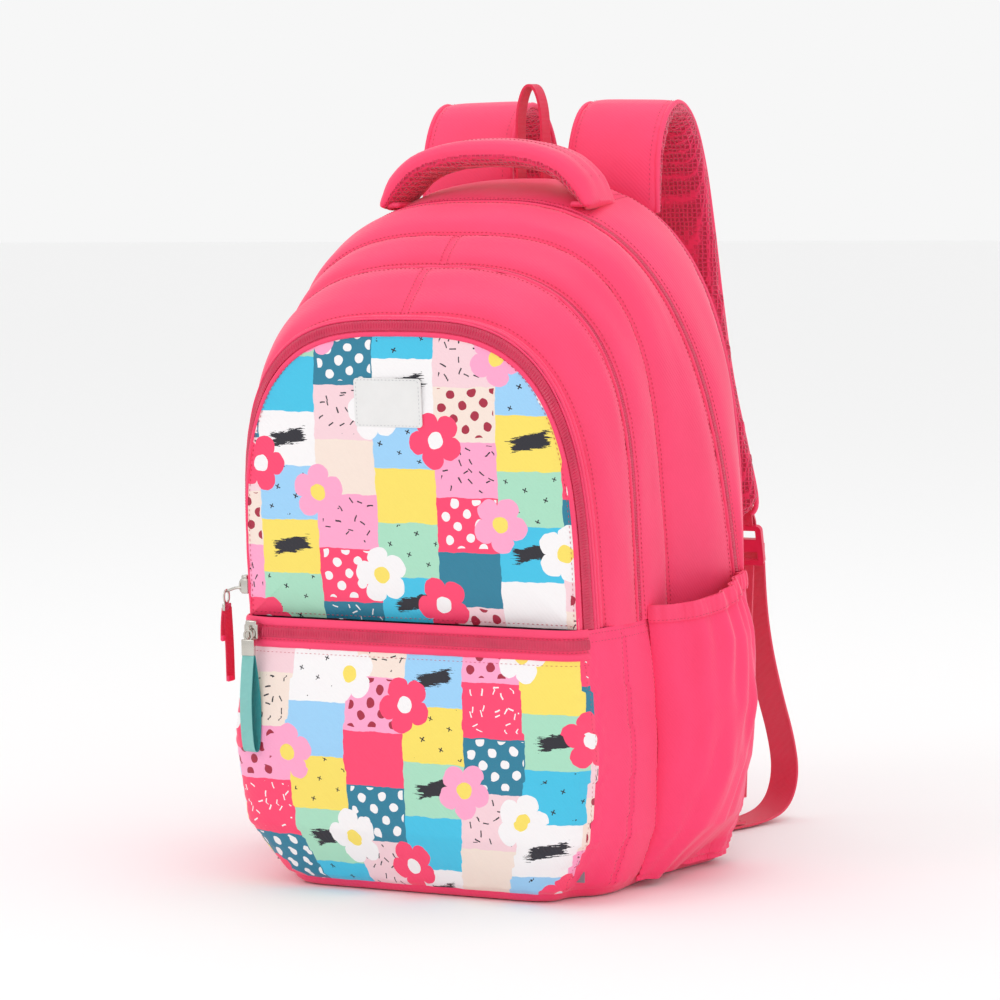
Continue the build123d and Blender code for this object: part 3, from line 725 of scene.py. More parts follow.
# ---- printed upper panel ----
def upper_panel():
    """The domed printed panel with its stitched edge and the inner welt of its zip."""
    foot = FOLD_Z + 1
    wide, top, straight, square, depth, lean = PRINT_EDGE
    centre = Vector((0, depth + lean * (top - 280), 280))
    arch_share = 0.8

    def outline(u):
        if u <= arch_share:
            return arch_at(PRINT_EDGE, u / arch_share)
        along = (u - arch_share) / (1 - arch_share)
        return Vector((wide * (1 - 2 * along), depth + lean * (top - foot), foot))

    def place(u, v):
        point = centre.lerp(outline(u), v)
        dome = 5.5 * (1 - v ** 4)
        fold = 1.6 * noise.noise(point / 55 + Vector((3, 0, 0))) * (1 - v ** 6)
        pucker = 0.7 * max(0.0, (v - 0.86) / 0.14) * noise.noise(point / 7)
        return point - Vector((0, 1, 0)) * (dome + fold + pucker)

    panel = cloth_grid("upper_panel_print", 260, 60, place, closed=True)
    for loop in panel.data.loops:
        at = panel.data.vertices[loop.vertex_index].co
        panel.data.uv_layers.active.data[loop.index].uv = (at.x, at.z)
    face_out(panel, (0, 0.1, 0.28))
    give_wall(panel, 1.2, printed_blank, lining)
    print_over(panel, "printed_polyester_upper", HOT, patchwork(128, 178, 380, 0))
    edge = [place(i / 300, 0.975) - Vector((0, 0.4, 0)) for i in range(301)]
    toward = lambda point: Vector((0, -1, 0))
    panel = join([panel, stitches("panel_stitch", edge, toward, pitch=3.4)])
    on(panel, "front_flap", "printed_twill", "upper_front_panel")

    length = arch_length(PRINT_EDGE)
    base = between_arches(moved_arch(PRINT_EDGE, -0.5, -3), moved_arch(FRONT_ZIP, -0.5, 0))
    _, welt = zip_band("front_zip_inner_tape", base, length, ((0.14, 0.13), (0.94, 0.07)), (0.32, 0.84), 9.0)
    on(welt, "front_flap", "pink_zip")


# ---- lower body ----
# height: (front corner half width, front depth, side half width, back half width)
LEVELS = {
    0: (80, -72, 112, 130), 10: (102, -91, 127, 145), 45: (123, -104, 139, 155), 100: (130, -106, 142, 158),
    182: (122, -101, 136, 156),
}
SPLIT_Y = -88.0
RING = 240


def level(z):
    """The outline's sizes at a height, eased between the levels."""
    heights = sorted(LEVELS)
    z = min(max(z, heights[0]), heights[-1])
    k = max(i for i, h in enumerate(heights[:-1]) if h <= z)
    low, high = heights[k], heights[k + 1]
    share = (z - low) / (high - low)
    if k == 0:
        share = math.sqrt(share)
    return [a + (b - a) * share for a, b in zip(LEVELS[low], LEVELS[high])]


RINGS = {}


def body_ring(z):
    """Even points round the body at a height, from the back left, round the front, to the back right."""
    key = round(z, 1)
    if key in RINGS:
        return RINGS[key]
    corner, front, side, back = level(z)
    right = [
        (0, front), (corner - 40, front), (corner - 14, front), (corner + 1, front + 6),
        (corner + 4, front + 24),
        (side, -48), (side, 0), (side + 2, 26), (back - 4, 76), (back, 92), (back, 99),
    ]
    for _ in range(3):
        cut = [right[0]]
        for a, b in zip(right, right[1:]):
            cut.append((0.75 * a[0] + 0.25 * b[0], 0.75 * a[1] + 0.25 * b[1]))
            cut.append((0.25 * a[0] + 0.75 * b[0], 0.25 * a[1] + 0.75 * b[1]))
        right = cut + [right[-1]]
    line = [Vector((-x, y)) for x, y in reversed(right)] + [Vector((x, y)) for x, y in right[1:]]
    gone = [0.0]
    for a, b in zip(line, line[1:]):
        gone.append(gone[-1] + (b - a).length)
    even, k = [], 0
    for i in range(RING + 1):
        want = gone[-1] * i / RING
        while k < len(line) - 2 and gone[k + 1] < want:
            k += 1
        even.append(line[k].lerp(line[k + 1], (want - gone[k]) / max(gone[k + 1] - gone[k], 1e-6)))
    RINGS[key] = (even, gone[-1])
    return RINGS[key]


def body_at(s, z):
    """A point of the lower body: s from 0 at the back left to 1 at the back right."""
    even, _ = body_ring(z)
    place = min(max(s, 0.0), 1.0) * RING
    k = min(int(place), RING - 1)
    flat = even[k].lerp(even[k + 1], place - k)
    return Vector((flat.x, flat.y, z))


def share_at(y, z=100, left=False):
    """s where the right (or left) side passes a depth."""
    even, _ = body_ring(z)
    depth = max(y, level(z)[1] + 14)
    hits = [i for i, p in enumerate(even) if p.x > 0 and p.y <= depth]
    s = hits[-1] / RING
    return 1 - s if left else s


def body_patch(name, start, end, low, high, puff, seed, across, rows, materials, seams=(), folds=1.0,
        width=300):
    """A sewn panel of the lower body between two shares round it and two heights."""
    def base(u, v):
        z = low + (high - low) * v
        a = start(z) if callable(start) else start
        b = end(z) if callable(end) else end
        return body_at(a + (b - a) * u, z)
    def lift(u, v):
        edge = min(u, 1 - u, v, 1 - v)
        near = min(1.0, edge / 0.06)
        swell = puff * (1 - abs(2 * u - 1) ** 4) * (1 - abs(2 * v - 1) ** 5)
        pucker = 4.0 * near * (1 - near) * noise.noise(Vector((u * 26, v * 26, seed)))
        fold = folds * 2.4 * noise.noise(Vector((u * 3.1 + seed, v * 2.2, seed))) * min(1, edge * 8)
        groove = sum(1.4 * math.exp(-(((u - at) * 110) ** 2)) for at in seams) * min(1, edge * 20)
        return swell + pucker + fold - groove
    place = raised(base, lift)
    made = cloth_grid(name, across, rows, place, (width, high - low), corner=(-width / 2, low))
    face_out(made, (0, 0, (low + high) / 2000))
    give_wall(made, 1.2, *materials)
    return place, made


PANEL_FOOT, ZIP_LOW, ZIP_HIGH = 6.0, 164.0, 182.0
SEAM_DEPTHS = (-54.0, -17.0)


def lower_body():
    """Printed front, pink sides with their seams, the base and the crosswise zip."""
    start, end = (lambda z: share_at(SPLIT_Y, z, True)), (lambda z: share_at(SPLIT_Y, z))
    wide = (end(100) - start(100)) * body_ring(100)[1]
    place, panel = body_patch(
        "lower_panel_print", start, end, PANEL_FOOT, ZIP_LOW, 3.5, 21.0, 240, 120, (printed_blank, lining),
        width=wide
    )
    print_over(panel, "printed_polyester_lower", GROUND_LOW, patchwork(152, 4, 172, 3))
    threads = [stitches("panel_edge", [place(u, 0.004 + 0.99 * i / 120) for i in range(121)], outwards())
               for u in (0.012, 0.988)]
    threads.append(stitches("panel_top", [place(i / 200, 0.975) for i in range(201)], outwards()))
    on(join([panel] + threads), "bag", "printed_twill", "lower_front_panel")

    sides = []
    for name, mirrored in (("side_band_right", False), ("side_band_left", True)):
        first = lambda z: share_at(SPLIT_Y, z)
        begin, stop = (first, 1.0) if not mirrored else (0.0, start)
        marks = [(share_at(y) - first(100)) / (1 - first(100)) for y in SEAM_DEPTHS]
        if mirrored:
            marks = [1 - m for m in marks]
        place, band = body_patch(
            name, begin, stop, PANEL_FOOT, ZIP_HIGH, 3.0, 31.0 + mirrored, 150, 110, (panel_pink,),
            marks, 1.3
        )
        threads = []
        for mark in marks:
            for shift in (-0.012, 0.012):
                line = [place(mark + shift, 0.02 + 0.96 * i / 100) for i in range(101)]
                threads.append(stitches("side_seam", line, outwards()))
        for v in (0.955, 0.985):
            threads.append(stitches("side_top", [place(i / 150, v) for i in range(151)], outwards()))
        sides.append(join([band] + threads))
    band = join(sides)
    band.name = "side_bands_cloth"
    on(band, "bag", "pink_twill", "lower_side_bands")

    def under(u, v):
        point = body_at(u, PANEL_FOOT + 1)
        middle = Vector((0, 12, 0.4))
        rim = 1 - v
        flat = middle.lerp(point, 1 - rim)
        flat.z = 0.5 + (PANEL_FOOT + 0.5) * max(0.0, (v - 0.93) / 0.07) ** 2
        return flat
    base = cloth_grid("base_cloth", 240, 40, under, (700, 130))
    face_out(base)
    give_wall(base, 1.2, panel_pink, lining)
    on(base, "bag", "pink_twill", "base_panel")

    def across(u, v):
        z = ZIP_LOW - 1 + (ZIP_HIGH - ZIP_LOW + 2) * v
        a, b = share_at(SPLIT_Y + 2, 170, True), share_at(SPLIT_Y + 2, 170)
        return body_at(a + (b - a) * u, z)
    length = 262.0
    place, band = zip_band("crosswise_zip_band", across, length, ((0.12, 0.12), (0.86, 0.14)), (0.34, 0.66))
    threads = [stitches("zip_edge", row(place, v), outwards(), pitch=2.9) for v in (0.27, 0.71)]
    on(join([band] + threads), "bag", "pink_zip", "pocket_zip")


# ---- side pockets ----
POCKET_Y = (-18.0, 96.0)
POCKET_BELLY = ((6, 136), (40, 168), (80, 181), (120, 185), (165, 180), (191, 172), (204, 169))
HEM = 12.0


def belly(z):
    """How far out a pocket stands at a height, at its middle."""
    for (z0, x0), (z1, x1) in zip(POCKET_BELLY, POCKET_BELLY[1:]):
        if z <= z1:
            share = max(0.0, (z - z0) / (z1 - z0))
            return x0 + (x1 - x0) * share
    return POCKET_BELLY[-1][1]


def wall_x(y, z):
    """The body's half width at a depth and height."""
    if z <= ZIP_HIGH:
        even, _ = body_ring(z)
        near = min((p for p in even if p.x > 0), key=lambda p: abs(p.y - y) + (50 if p.x < 60 else 0))
        return near.x
    return wall_x(y, ZIP_HIGH)


def pockets():
    """A gathered side pocket on each side, with its elastic hem."""
    front, back = POCKET_Y
    walls = {}
    for side, name in ((1, "right"), (-1, "left")):
        def base(u, v, side=side):
            y = front + (back - front) * u
            top = 191 + 12 * smoothstep(u * 1.15)
            z = 6 + (top - 6) * v
            key = (round(y), round(min(z, ZIP_HIGH) / 4))
            if key not in walls:
                walls[key] = wall_x(key[0], key[1] * 4)
            wall = walls[key] + 1.5
            shape = math.sin(math.pi * u) ** 0.62
            reach = max(belly(z) - wall, 4.0)
            return Vector((side * (wall + reach * shape), y, z))
        def lift(u, v, side=side):
            taper = min(1.0, u * 9, (1 - u) * 9)
            gather = 1.7 * math.sin(u * 41 + 2.2 * noise.noise(Vector((u * 4, v * 3,
                1)))) * smoothstep(v) ** 1.5
            slack = 5.0 * noise.noise(Vector((u * 2.6 + 4, v * 2.6 + u * 2, side))) * (1 - v * 0.5)
            drag = 2.2 * noise.noise(Vector((u * 9 - v * 4, v * 2.2, 8 + side)))
            return side * (gather + slack + drag) * taper
        place = raised(base, lift)
        body = cloth_grid(f"side_pocket_cloth_{name}", 120, 130, place, (150, 195), corner=(0, 6))
        face_out(body)
        give_wall(body, 1.2, panel_pink)
        on(body, "bag", "pink_twill", f"side_pocket_{name}")
        def hem_base(u, v, place=place):
            point = place(u, 1.0 - HEM / 195 * (1 - v))
            return point
        def hem_lift(u, v, side=side):
            return side * (1.3 * ridge(v, 0.5,
                0.55) + 0.7 + 0.5 * math.sin(u * 190) * (0.4 + 0.6 * noise.noise(Vector((u * 30, 0, 3)))))
        over = raised(hem_base, hem_lift)
        hem = cloth_grid(f"pocket_hem_cloth_{name}", 260, 12, over, (150, HEM))
        face_out(hem)
        give_wall(hem, 1.0, pink)
        line = [over(i / 150, 0.12) for i in range(151)]
        hem = join([hem, stitches("hem_stitch", line, outwards(), pitch=2.8)])
        on(hem, "bag", "pink_twill", f"pocket_hem_{name}")


# ---- padded pieces ----
SIM_FRAMES = 20
SIM_STIFFNESS = 25


def inflate(obj, cap, voxel=5.0, pressure=4.0):
    """Fills a padded form by cloth simulation, with how far it may move capped, in mm."""
    apply_modifier(obj, "REMESH", mode="VOXEL", voxel_size=voxel * MM)
    start = [v.co.copy() for v in obj.data.vertices]
    active(obj)
    cloth = obj.modifiers.new("fill", "CLOTH")
    cloth.settings.quality = 4
    cloth.settings.mass = 0.3
    cloth.settings.tension_stiffness = SIM_STIFFNESS
    cloth.settings.compression_stiffness = SIM_STIFFNESS
    cloth.settings.use_pressure = True
    cloth.settings.uniform_pressure_force = pressure
    cloth.settings.effector_weights.gravity = 0
    cloth.collision_settings.use_collision = False
    for frame_number in range(1, SIM_FRAMES + 1):
        bpy.context.scene.frame_set(frame_number)
    bpy.ops.object.modifier_apply(modifier=cloth.name)
    bpy.context.scene.frame_set(1)
    for vertex, before in zip(obj.data.vertices, start):
        moved = vertex.co - before
        if moved.length > cap * MM:
            vertex.co = before + moved.normalized() * cap * MM
    apply_modifier(obj, "SUBSURF", levels=1, render_levels=1)
    return obj


def smooth_line(points, count):
    """Even points on a curve through the given points (each a Vector of any size), by Catmull-Rom."""
    fine = []
    padded_points = [points[0] * 2 - points[1]] + list(points) + [points[-1] * 2 - points[-2]]
    for a, b, c, d in zip(padded_points, padded_points[1:], padded_points[2:], padded_points[3:]):
        for i in range(24):
            t = i / 24
            fine.append(0.5 * (2 * b + (c - a) * t + (2 * a - 5 * b + 4 * c - d) * t * t
                               + (3 * b - a - 3 * c + d) * t ** 3))
    fine.append(points[-1])
    gone = [0.0]
    for a, b in zip(fine, fine[1:]):
        gone.append(gone[-1] + (b - a).length)
    even, k = [], 0
    for i in range(count + 1):
        want = gone[-1] * i / count
        while k < len(fine) - 2 and gone[k + 1] < want:
            k += 1
        even.append(fine[k].lerp(fine[k + 1], (want - gone[k]) / max(gone[k + 1] - gone[k], 1e-9)))
    return even


def swept(name, frames, ring, *materials):
    """A closed form: ring(k, angle) gives (across, out) mm at each frame (point, across, out)."""
    around = 40
    verts, faces = [], []
    for k, (point, across, out) in enumerate(frames):
        for j in range(around):
            a, b = ring(k, 2 * math.pi * j / around)
            verts.append(point + across * a + out * b)
    count = len(frames)
    for k in range(count - 1):
        for j in range(around):
            m = (j + 1) % around
            faces.append((k * around + j, k * around + m, (k + 1) * around + m, (k + 1) * around + j))
    faces.append(tuple(range(around)))
    faces.append(tuple(range((count - 1) * around, count * around))[::-1])
    made = mesh_of(name, verts, faces, *materials)
    edit(made, (bpy.ops.mesh.normals_make_consistent, {"inside": False}))
    active(made)
    bpy.ops.object.shade_smooth_by_angle(angle=math.radians(60))
    return made


STRAP_PATH = (  # x, y, z and width of the right shoulder strap, from the yoke to its lower end
    (56, 119, 442, 72), (56, 120, 478, 72), (56, 128, 501, 72), (56, 142, 515, 72), (56, 160, 518, 72),
    (56, 181, 505, 72), (57, 196, 476, 72), (60, 203, 435, 72), (66, 204, 380, 72), (76, 201, 325, 70),
    (88, 203, 275, 66), (98, 208, 238, 56), (101, 211, 225, 36),
)
STRAP_THICK = 12.0


def strap_frames(side, count=110):
    """Points down a shoulder strap with the ways across and out."""
    line = smooth_line([Vector(p) for p in STRAP_PATH], count)
    frames = []
    for k, p in enumerate(line):
        before, after = line[max(k - 1, 0)], line[min(k + 1, count)]
        run = Vector((0, after.y - before.y, after.z - before.z)).normalized()
        out = Vector((0, -run.z, run.y))
        point = Vector((side * p.x, p.y, p.z))
        frames.append((point, Vector((1, 0, 0)), out, p.w if len(p) > 3 else 72))
    return frames


def shoulder_straps():
    """Padded straps: smooth twill outside, air mesh inside and on the edges, a bound edge between them."""
    for side, name in ((1, "right"), (-1, "left")):
        frames = strap_frames(side)
        last = len(frames) - 1

        def ring(k, angle):
            wide = frames[k][3] / 2 - 1
            thick = (STRAP_THICK / 2 - 0.5) * (1 - 0.35 * max(0.0, (k - last + 12) / 12))
            c, n = math.cos(angle), math.sin(angle)
            return (math.copysign(abs(c) ** 0.4, c) * wide, math.copysign(abs(n) ** 0.62, n) * thick)
        pad = swept(f"strap_pad_{name}", [f[:3] for f in frames], ring, pink, mesh_fabric)
        inflate(pad, 3.0)
        tree = kdtree.KDTree(len(frames))
        for k, f in enumerate(frames):
            tree.insert(f[0], k)
        tree.balance()
        offsets = []
        for vertex in pad.data.vertices:
            _, k, _ = tree.find(vertex.co / MM)
            offsets.append((vertex, k, (vertex.co / MM - frames[k][0]).dot(frames[k][1])))
        reach = [max((abs(a) for _, j, a in offsets if abs(j - k) < 4), default=1.0)
            for k in range(len(frames))]
        for vertex, k, a in offsets:
            vertex.co += frames[k][1] * a * (frames[k][3] / 2 / reach[k] - 1) * MM
        for face in pad.data.polygons:
            at = face.center / MM
            _, k, _ = tree.find(at)
            face.material_index = 0 if (at - frames[k][0]).dot(frames[k][2]) > 2.6 else 1
            face.use_smooth = True
        pieces = [pad]
        for edge in (-1, 1):
            line = [f[0] + f[1] * edge * (f[3] / 2 - 2.6) + f[2] * 3.0 for f in frames[1:-2]]
            pieces.append(bar("binding", line, 1.9, pink))
            inner = []
            for point, across, out, wide in frames[3:-6]:
                above = point + across * edge * (wide / 2 - 7) + out * (STRAP_THICK / 2 + 2)
                _, near, face_way, _ = pad.closest_point_on_mesh(above * MM,
                    depsgraph=bpy.context.evaluated_depsgraph_get())
                inner.append(near / MM + face_way * 0.3)
            pieces.append(stitches("strap_stitch", inner, lambda p, y=side: Vector((0, 0.6, 0.6)), pitch=3.4))
        pad = join(pieces)
        on(pad, f"strap_{name}", "pink_twill", f"strap_cover_{name}", f"strap_foam_{name}",
            f"strap_mesh_{name}")


def bar(name, points, radius, material, around=8):
    """A round bar or piping along points."""
    frames = []
    side = Vector((1, 0, 0))
    for k, p in enumerate(points):
        run = (points[min(k + 1, len(points) - 1)] - points[max(k - 1, 0)]).normalized()
        side = (side - run * side.dot(run))
        if side.length < 0.05:
            side = run.orthogonal()
        side.normalize()
        frames.append((p, side.copy(), run.cross(side)))
    verts, faces = [], []
    for p, a, b in frames:
        for j in range(around):
            turn = 2 * math.pi * j / around
            verts.append(p + a * math.cos(turn) * radius + b * math.sin(turn) * radius)
    for k in range(len(frames) - 1):
        for j in range(around):
            m = (j + 1) % around
            faces.append((k * around + j, k * around + m, (k + 1) * around + m, (k + 1) * around + j))
    faces.append(tuple(range(around)))
    faces.append(tuple(range((len(frames) - 1) * around, len(frames) * around))[::-1])
    made = mesh_of(name, verts, faces, material)
    edit(made, (bpy.ops.mesh.normals_make_consistent, {"inside": False}))
    active(made)
    bpy.ops.object.shade_smooth_by_angle(angle=math.radians(60))
    return made


def block(name, centre, size, edge, material):
    """A hard block with rounded edges."""
    bpy.ops.mesh.primitive_cube_add(size=1)
    made = bpy.context.object
    made.name = name
    for vertex in made.data.vertices:
        vertex.co = Vector([(c + v * s) * MM for c, v, s in zip(centre, vertex.co, size)])
    made.data.materials.append(material)
    apply_modifier(made, "BEVEL", width=edge * MM, segments=3, limit_method="NONE")
    active(made)
    bpy.ops.object.shade_smooth_by_angle(angle=math.radians(40))
    return made


def ribbon(name, points, across, width, thick, *materials, count=60, rows=6):
    """A flat tape along points, its width along across; the rib pattern follows its own length."""
    line = smooth_line(points, count)
    length = sum((b - a).length for a, b in zip(line, line[1:]))
    across = Vector(across).normalized()

    def place(u, v):
        at = v * count
        k = min(int(at), count - 1)
        return line[k].lerp(line[k + 1], at - k) + across * (u - 0.5) * width
    made = cloth_grid(name, rows, count, place, (width, length))
    for material in materials:
        made.data.materials.append(material)
    inner = 1 if len(materials) > 1 else 0
    apply_modifier(made, "SOLIDIFY", thickness=thick * MM, offset=0, material_offset=inner)
    active(made)
    bpy.ops.object.shade_smooth_by_angle(angle=math.radians(50))
    return made


def handle_and_loop():
    """The padded carry handle with three ridges on top, and the hang loop behind it."""
    line = smooth_line([Vector(p) for p in HANDLE_LINE], 90)
    frames = []
    for k, p in enumerate(line):
        run = (line[min(k + 1, 90)] - line[max(k - 1, 0)]).normalized()
        frames.append((p, Vector((0, 1, 0)), Vector((-run.z, 0, run.x))))

    def ring(k, angle):
        end = min(1.0, min(k, 90 - k) / 9)
        c, n = math.cos(angle), math.sin(angle)
        a = math.copysign(abs(c) ** 0.7, c) * (HANDLE_DEEP / 2)
        tall = (5.0 + 3.6 * end)
        b = math.copysign(abs(n) ** 0.8, n) * tall
        if n > 0:
            b += 1.5 * abs(math.sin(1.5 * math.pi * (a / HANDLE_DEEP * 2 + 1))) * end
        return a, b
    grip = swept("handle_grip", frames, ring, pink, mesh_fabric)
    inflate(grip, 1.2, 2.6, 2.0)
    for face in grip.data.polygons:
        at = face.center / MM
        nearest = min(frames, key=lambda f: (f[0] - at).length_squared)
        face.material_index = 0 if (at - nearest[0]).dot(nearest[2]) > -1.0 or at.y > 52 else 1
        face.use_smooth = True
    rows_of_thread = []
    for a in (-6.6, 6.6):
        seam = [f[0] + f[1] * a + f[2] * 9.4 for f in frames[8:-8]]
        rows_of_thread.append(stitches("handle_stitch", seam, lambda p: Vector((0, 0, 1))))
    grip = join([grip] + rows_of_thread)
    on(grip, "handle", "pink_twill", "handle_cover", "handle_foam", "handle_mesh")
    feet = []
    for side in (-1, 1):
        feet.append(block("handle_foot", (side * 71, HANDLE_Y, 453.5), (14, 40, 4), 1.8, pink))
    foot = join(feet)
    foot.name = "handle_feet"
    on(foot, "bag", "pink_twill", "handle_anchors")

    path = [Vector(p) for p in ((-9.5, 106.5, 468), (-9.6, 106.5, 492), (-8.6, 106.5, 516), (-5, 106.5, 530),
                                (0, 106.5, 534.6), (5, 106.5, 530), (8.6, 106.5, 516), (9.6, 106.5, 492),
                                (9.5, 106.5, 468))]
    loop = ribbon("hang_loop_tape", path, (0.15, 1, 0), 10.5, 1.8, webbing, count=90)
    on(loop, "bag", "pink_twill", "hang_loop")


HANDLE_LINE = (
    (-77, 46, 451), (-67, 46, 466), (-52, 46, 479), (-28, 46, 486.5), (0, 46, 488.5), (28, 46, 486.5),
    (52, 46, 479), (67, 46, 466), (77, 46, 451),
)
HANDLE_Y, HANDLE_DEEP = 46.0, 46.0


# ---- back ----
BACK_Y = 107.4  # where the back mesh is sewn to the rear edge
PAD_FACE_Y = 109.4
YOKE_HALF, YOKE_FOOT, YOKE_TOP, YOKE_Y = 96, 404, 460.0, 113.2
WING_Y = 111.6


def back_side():
    """Mesh back with three raised pads, the yoke that the straps are sewn to, and the lower wings."""
    wide, top, straight, square, depth, _ = BACK_EDGE
    centre = Vector((0, 108.6, 240))

    def outline(u):
        if u < 0.82:
            p = arch_at(BACK_EDGE, u / 0.82)
            return Vector((p.x * 0.985, BACK_Y, p.z - 4))
        along = (u - 0.82) / 0.18
        sweep = [Vector((x, BACK_Y, z)) for x, z in ((157 * 0.985, 178), (150, 60), (128, 8))]
        path = sweep + [Vector((-p.x, p.y, p.z)) for p in reversed(sweep)]
        at = along * (len(path) - 1)
        k = min(int(at), len(path) - 2)
        return path[k].lerp(path[k + 1], at - k)
    place = lambda u, v: centre.lerp(outline(u), v) - Vector((0, 1.2 * max(0.0, (v - 0.93) / 0.07) ** 2, 0))
    sheet = cloth_grid("back_mesh_sheet", 240, 30, place, (600, 300), closed=True)
    face_out(sheet, (0, 0, 0.24))
    give_wall(sheet, 2.0, mesh_fabric)
    on(sheet, "bag", "pink_mesh", "back_mesh_pad")
    rim = [outline(i / 240) + Vector((0, -1.0, 0)) for i in range(241)]
    edge = bar("back_binding", rim, 2.6, pink)
    on(edge, "bag", "pink_twill")

    pads = (("back_pad_right", 68, 48, 95, 388), ("back_pad_left", -68, 48, 95, 388),
        ("back_pad_lumbar", 0, 108, 26, 78))
    for name, x, half, low, high in pads:
        rows = [low + (high - low) * i / 40 for i in range(41)]
        frames = [(Vector((x, PAD_FACE_Y, z)), Vector((1, 0, 0)), Vector((0, 1, 0))) for z in rows]

        def ring(k, angle, half=half):
            end = min(1.0, (min(k, 40 - k) + 0.6) / 6)
            c, n = math.cos(angle), math.sin(angle)
            return (math.copysign(abs(c) ** 0.35, c) * half * (0.9 + 0.1 * math.sqrt(end)),
                    math.copysign(abs(n) ** 0.7, n) * (1.2 + 2.0 * math.sqrt(end)))
        pad = swept(name, frames, ring, mesh_fabric)
        inflate(pad, 3.0)
        for face in pad.data.polygons:
            face.use_smooth = True
        on(pad, "bag", "pink_mesh")

    def yoke_place(u, v):
        x = YOKE_HALF * (2 * u - 1)
        rim = straight + (top - straight) * (1 - abs(x / wide) ** square) ** (1 / square)
        high = min(YOKE_TOP, rim - 9)
        swell = 1.6 * (1 - abs(2 * u - 1) ** 4) * (1 - abs(2 * v - 1) ** 4)
        return Vector((x, YOKE_Y + swell, YOKE_FOOT + (high - YOKE_FOOT) * v))
    yoke = cloth_grid("strap_yoke_cloth", 80, 30, yoke_place, (192, 57))
    face_out(yoke)
    give_wall(yoke, 2.4, pink)
    rows_of_thread = [stitches("yoke_stitch", [yoke_place(i / 60, v) for i in range(61)],
        lambda p: Vector((0, 1, 0)))
                      for v in (0.05, 0.11, 0.89, 0.95)]
    on(join([yoke] + rows_of_thread), "bag", "pink_twill", "strap_yoke")

    wings = []
    for side in (-1, 1):
        def wing_place(u, v, side=side):
            low = 8 + 52 * v
            reach = 36 * (1 - 0.55 * v)
            return Vector((side * (150 - 22 * (1 - v) ** 1.5 - reach * u), WING_Y, low))
        wing = cloth_grid("anchor_wing", 20, 20, wing_place, (36, 52))
        face_out(wing)
        give_wall(wing, 2.0, pink)
        line = [wing_place(u, v) + Vector((0, 0.3, 0)) for u,
            v in ((0.1, 0.06), (0.9, 0.06), (0.9, 0.92), (0.1, 0.92), (0.1, 0.06))]
        wings += [wing, stitches("wing_stitch", line, lambda p: Vector((0, 1, 0)))]
    wing = join(wings)
    wing.name = "anchor_wings_cloth"
    on(wing, "bag", "pink_twill", "anchor_wings")


# ---- webbing ----
TAIL_FROM, TAIL_LEAN = (104.0, 224.8), math.radians(20)
TAIL_ROUTE = ((13, 206), (14, 172), (20, 133), (32, 94), (45, 60), (50, 32), (40, 10), (16, 2.6), (-8, 2.4))
TAIL_LENGTH, WEBBING_WIDE, WEBBING_THICK = 0.25, 25.0, 1.8


def spline_points(name, points):
    """Points read from the smooth curve that a route's points control, in mm."""
    curve = bpy.data.curves.new(name, "CURVE")
    curve.dimensions = "3D"
    spline = curve.splines.new("NURBS")
    spline.points.add(len(points) - 1)
    for target, point in zip(spline.points, points):
        target.co = (*(point * MM), 1)
    spline.order_u = 3
    spline.use_endpoint_u = True
    spline.resolution_u = 12
    holder = bpy.data.objects.new(name, curve)
    bpy.context.collection.objects.link(holder)
    bpy.context.view_layer.update()
    mesh = bpy.data.meshes.new_from_object(holder)
    line = [v.co / MM for v in mesh.vertices]
    bpy.data.objects.remove(holder)
    return line


def webbing_parts():
    """Lower straps, the loops that hold the ladder locks, and the free tails with folded ends."""
    for side, name in ((1, "right"), (-1, "left")):
        lean = Vector((side * math.sin(TAIL_LEAN), math.cos(TAIL_LEAN), 0))
        wide = Vector((math.cos(TAIL_LEAN), -side * math.sin(TAIL_LEAN), 0))
        start = Vector((side * TAIL_FROM[0], TAIL_FROM[1], 0))
        route = [start + lean * s + Vector((0, 0, z)) for s, z in TAIL_ROUTE]
        line = spline_points("tail_line", route)
        tail = ribbon(f"webbing_tail_cloth_{name}", line, wide, WEBBING_WIDE, WEBBING_THICK, webbing,
            count=110)
        fold_route = ((-8, 2.6), (-18, 2.5), (-21.5, 3.2), (-22, 4.2), (-20.5, 5.2), (-9, 5.4))
        fold_line = [start + lean * s + Vector((0, 0, z)) for s, z in fold_route]
        fold = ribbon(f"tail_fold_cloth_{name}", fold_line, wide, WEBBING_WIDE, WEBBING_THICK, webbing,
            count=40)
        seam = [start + lean * -12 + wide * x + Vector((0, 0, 6.5)) for x in (-11, 11)]
        fold = join([fold, stitches("fold_stitch", seam, lambda p: Vector((0, 0, 1)))])
        on(tail, f"strap_{name}", "pink_webbing", f"webbing_tail_{name}")
        on(fold, f"strap_{name}", "pink_webbing", f"tail_fold_{name}")
        taut = [Vector((side * x, y, z)) for x, y,
            z in ((104, 223, 188), (116, 187, 139), (128, 151, 89), (140, 115, 40))]
        lower = ribbon(f"lower_webbing_cloth_{name}", taut, (1, 0, side * 0.2), WEBBING_WIDE, WEBBING_THICK,
            webbing)
        bends_back(lower, name)
        tab = [Vector((side * 104, y, z)) for y, z in ((217.2, 264), (218.6, 245), (220.4, 228),
            (223.5, 217.5),
                                                          (228.5, 216.5), (228, 222), (223.6, 229),
                                                          (221.2, 240), (220, 256))]
        tab_piece = ribbon(f"lock_loop_cloth_{name}", tab, (1, 0, 0), 24.0, 1.6, webbing, count=70)
        seam = [Vector((side * 104 + x, 221.9, 246)) for x in (-10, 10)]
        tab_piece = join([tab_piece, stitches("tab_stitch", seam, lambda p: Vector((0, 1, 0)))])
        on(tab_piece, f"strap_{name}", "pink_webbing", f"lock_tab_{name}")


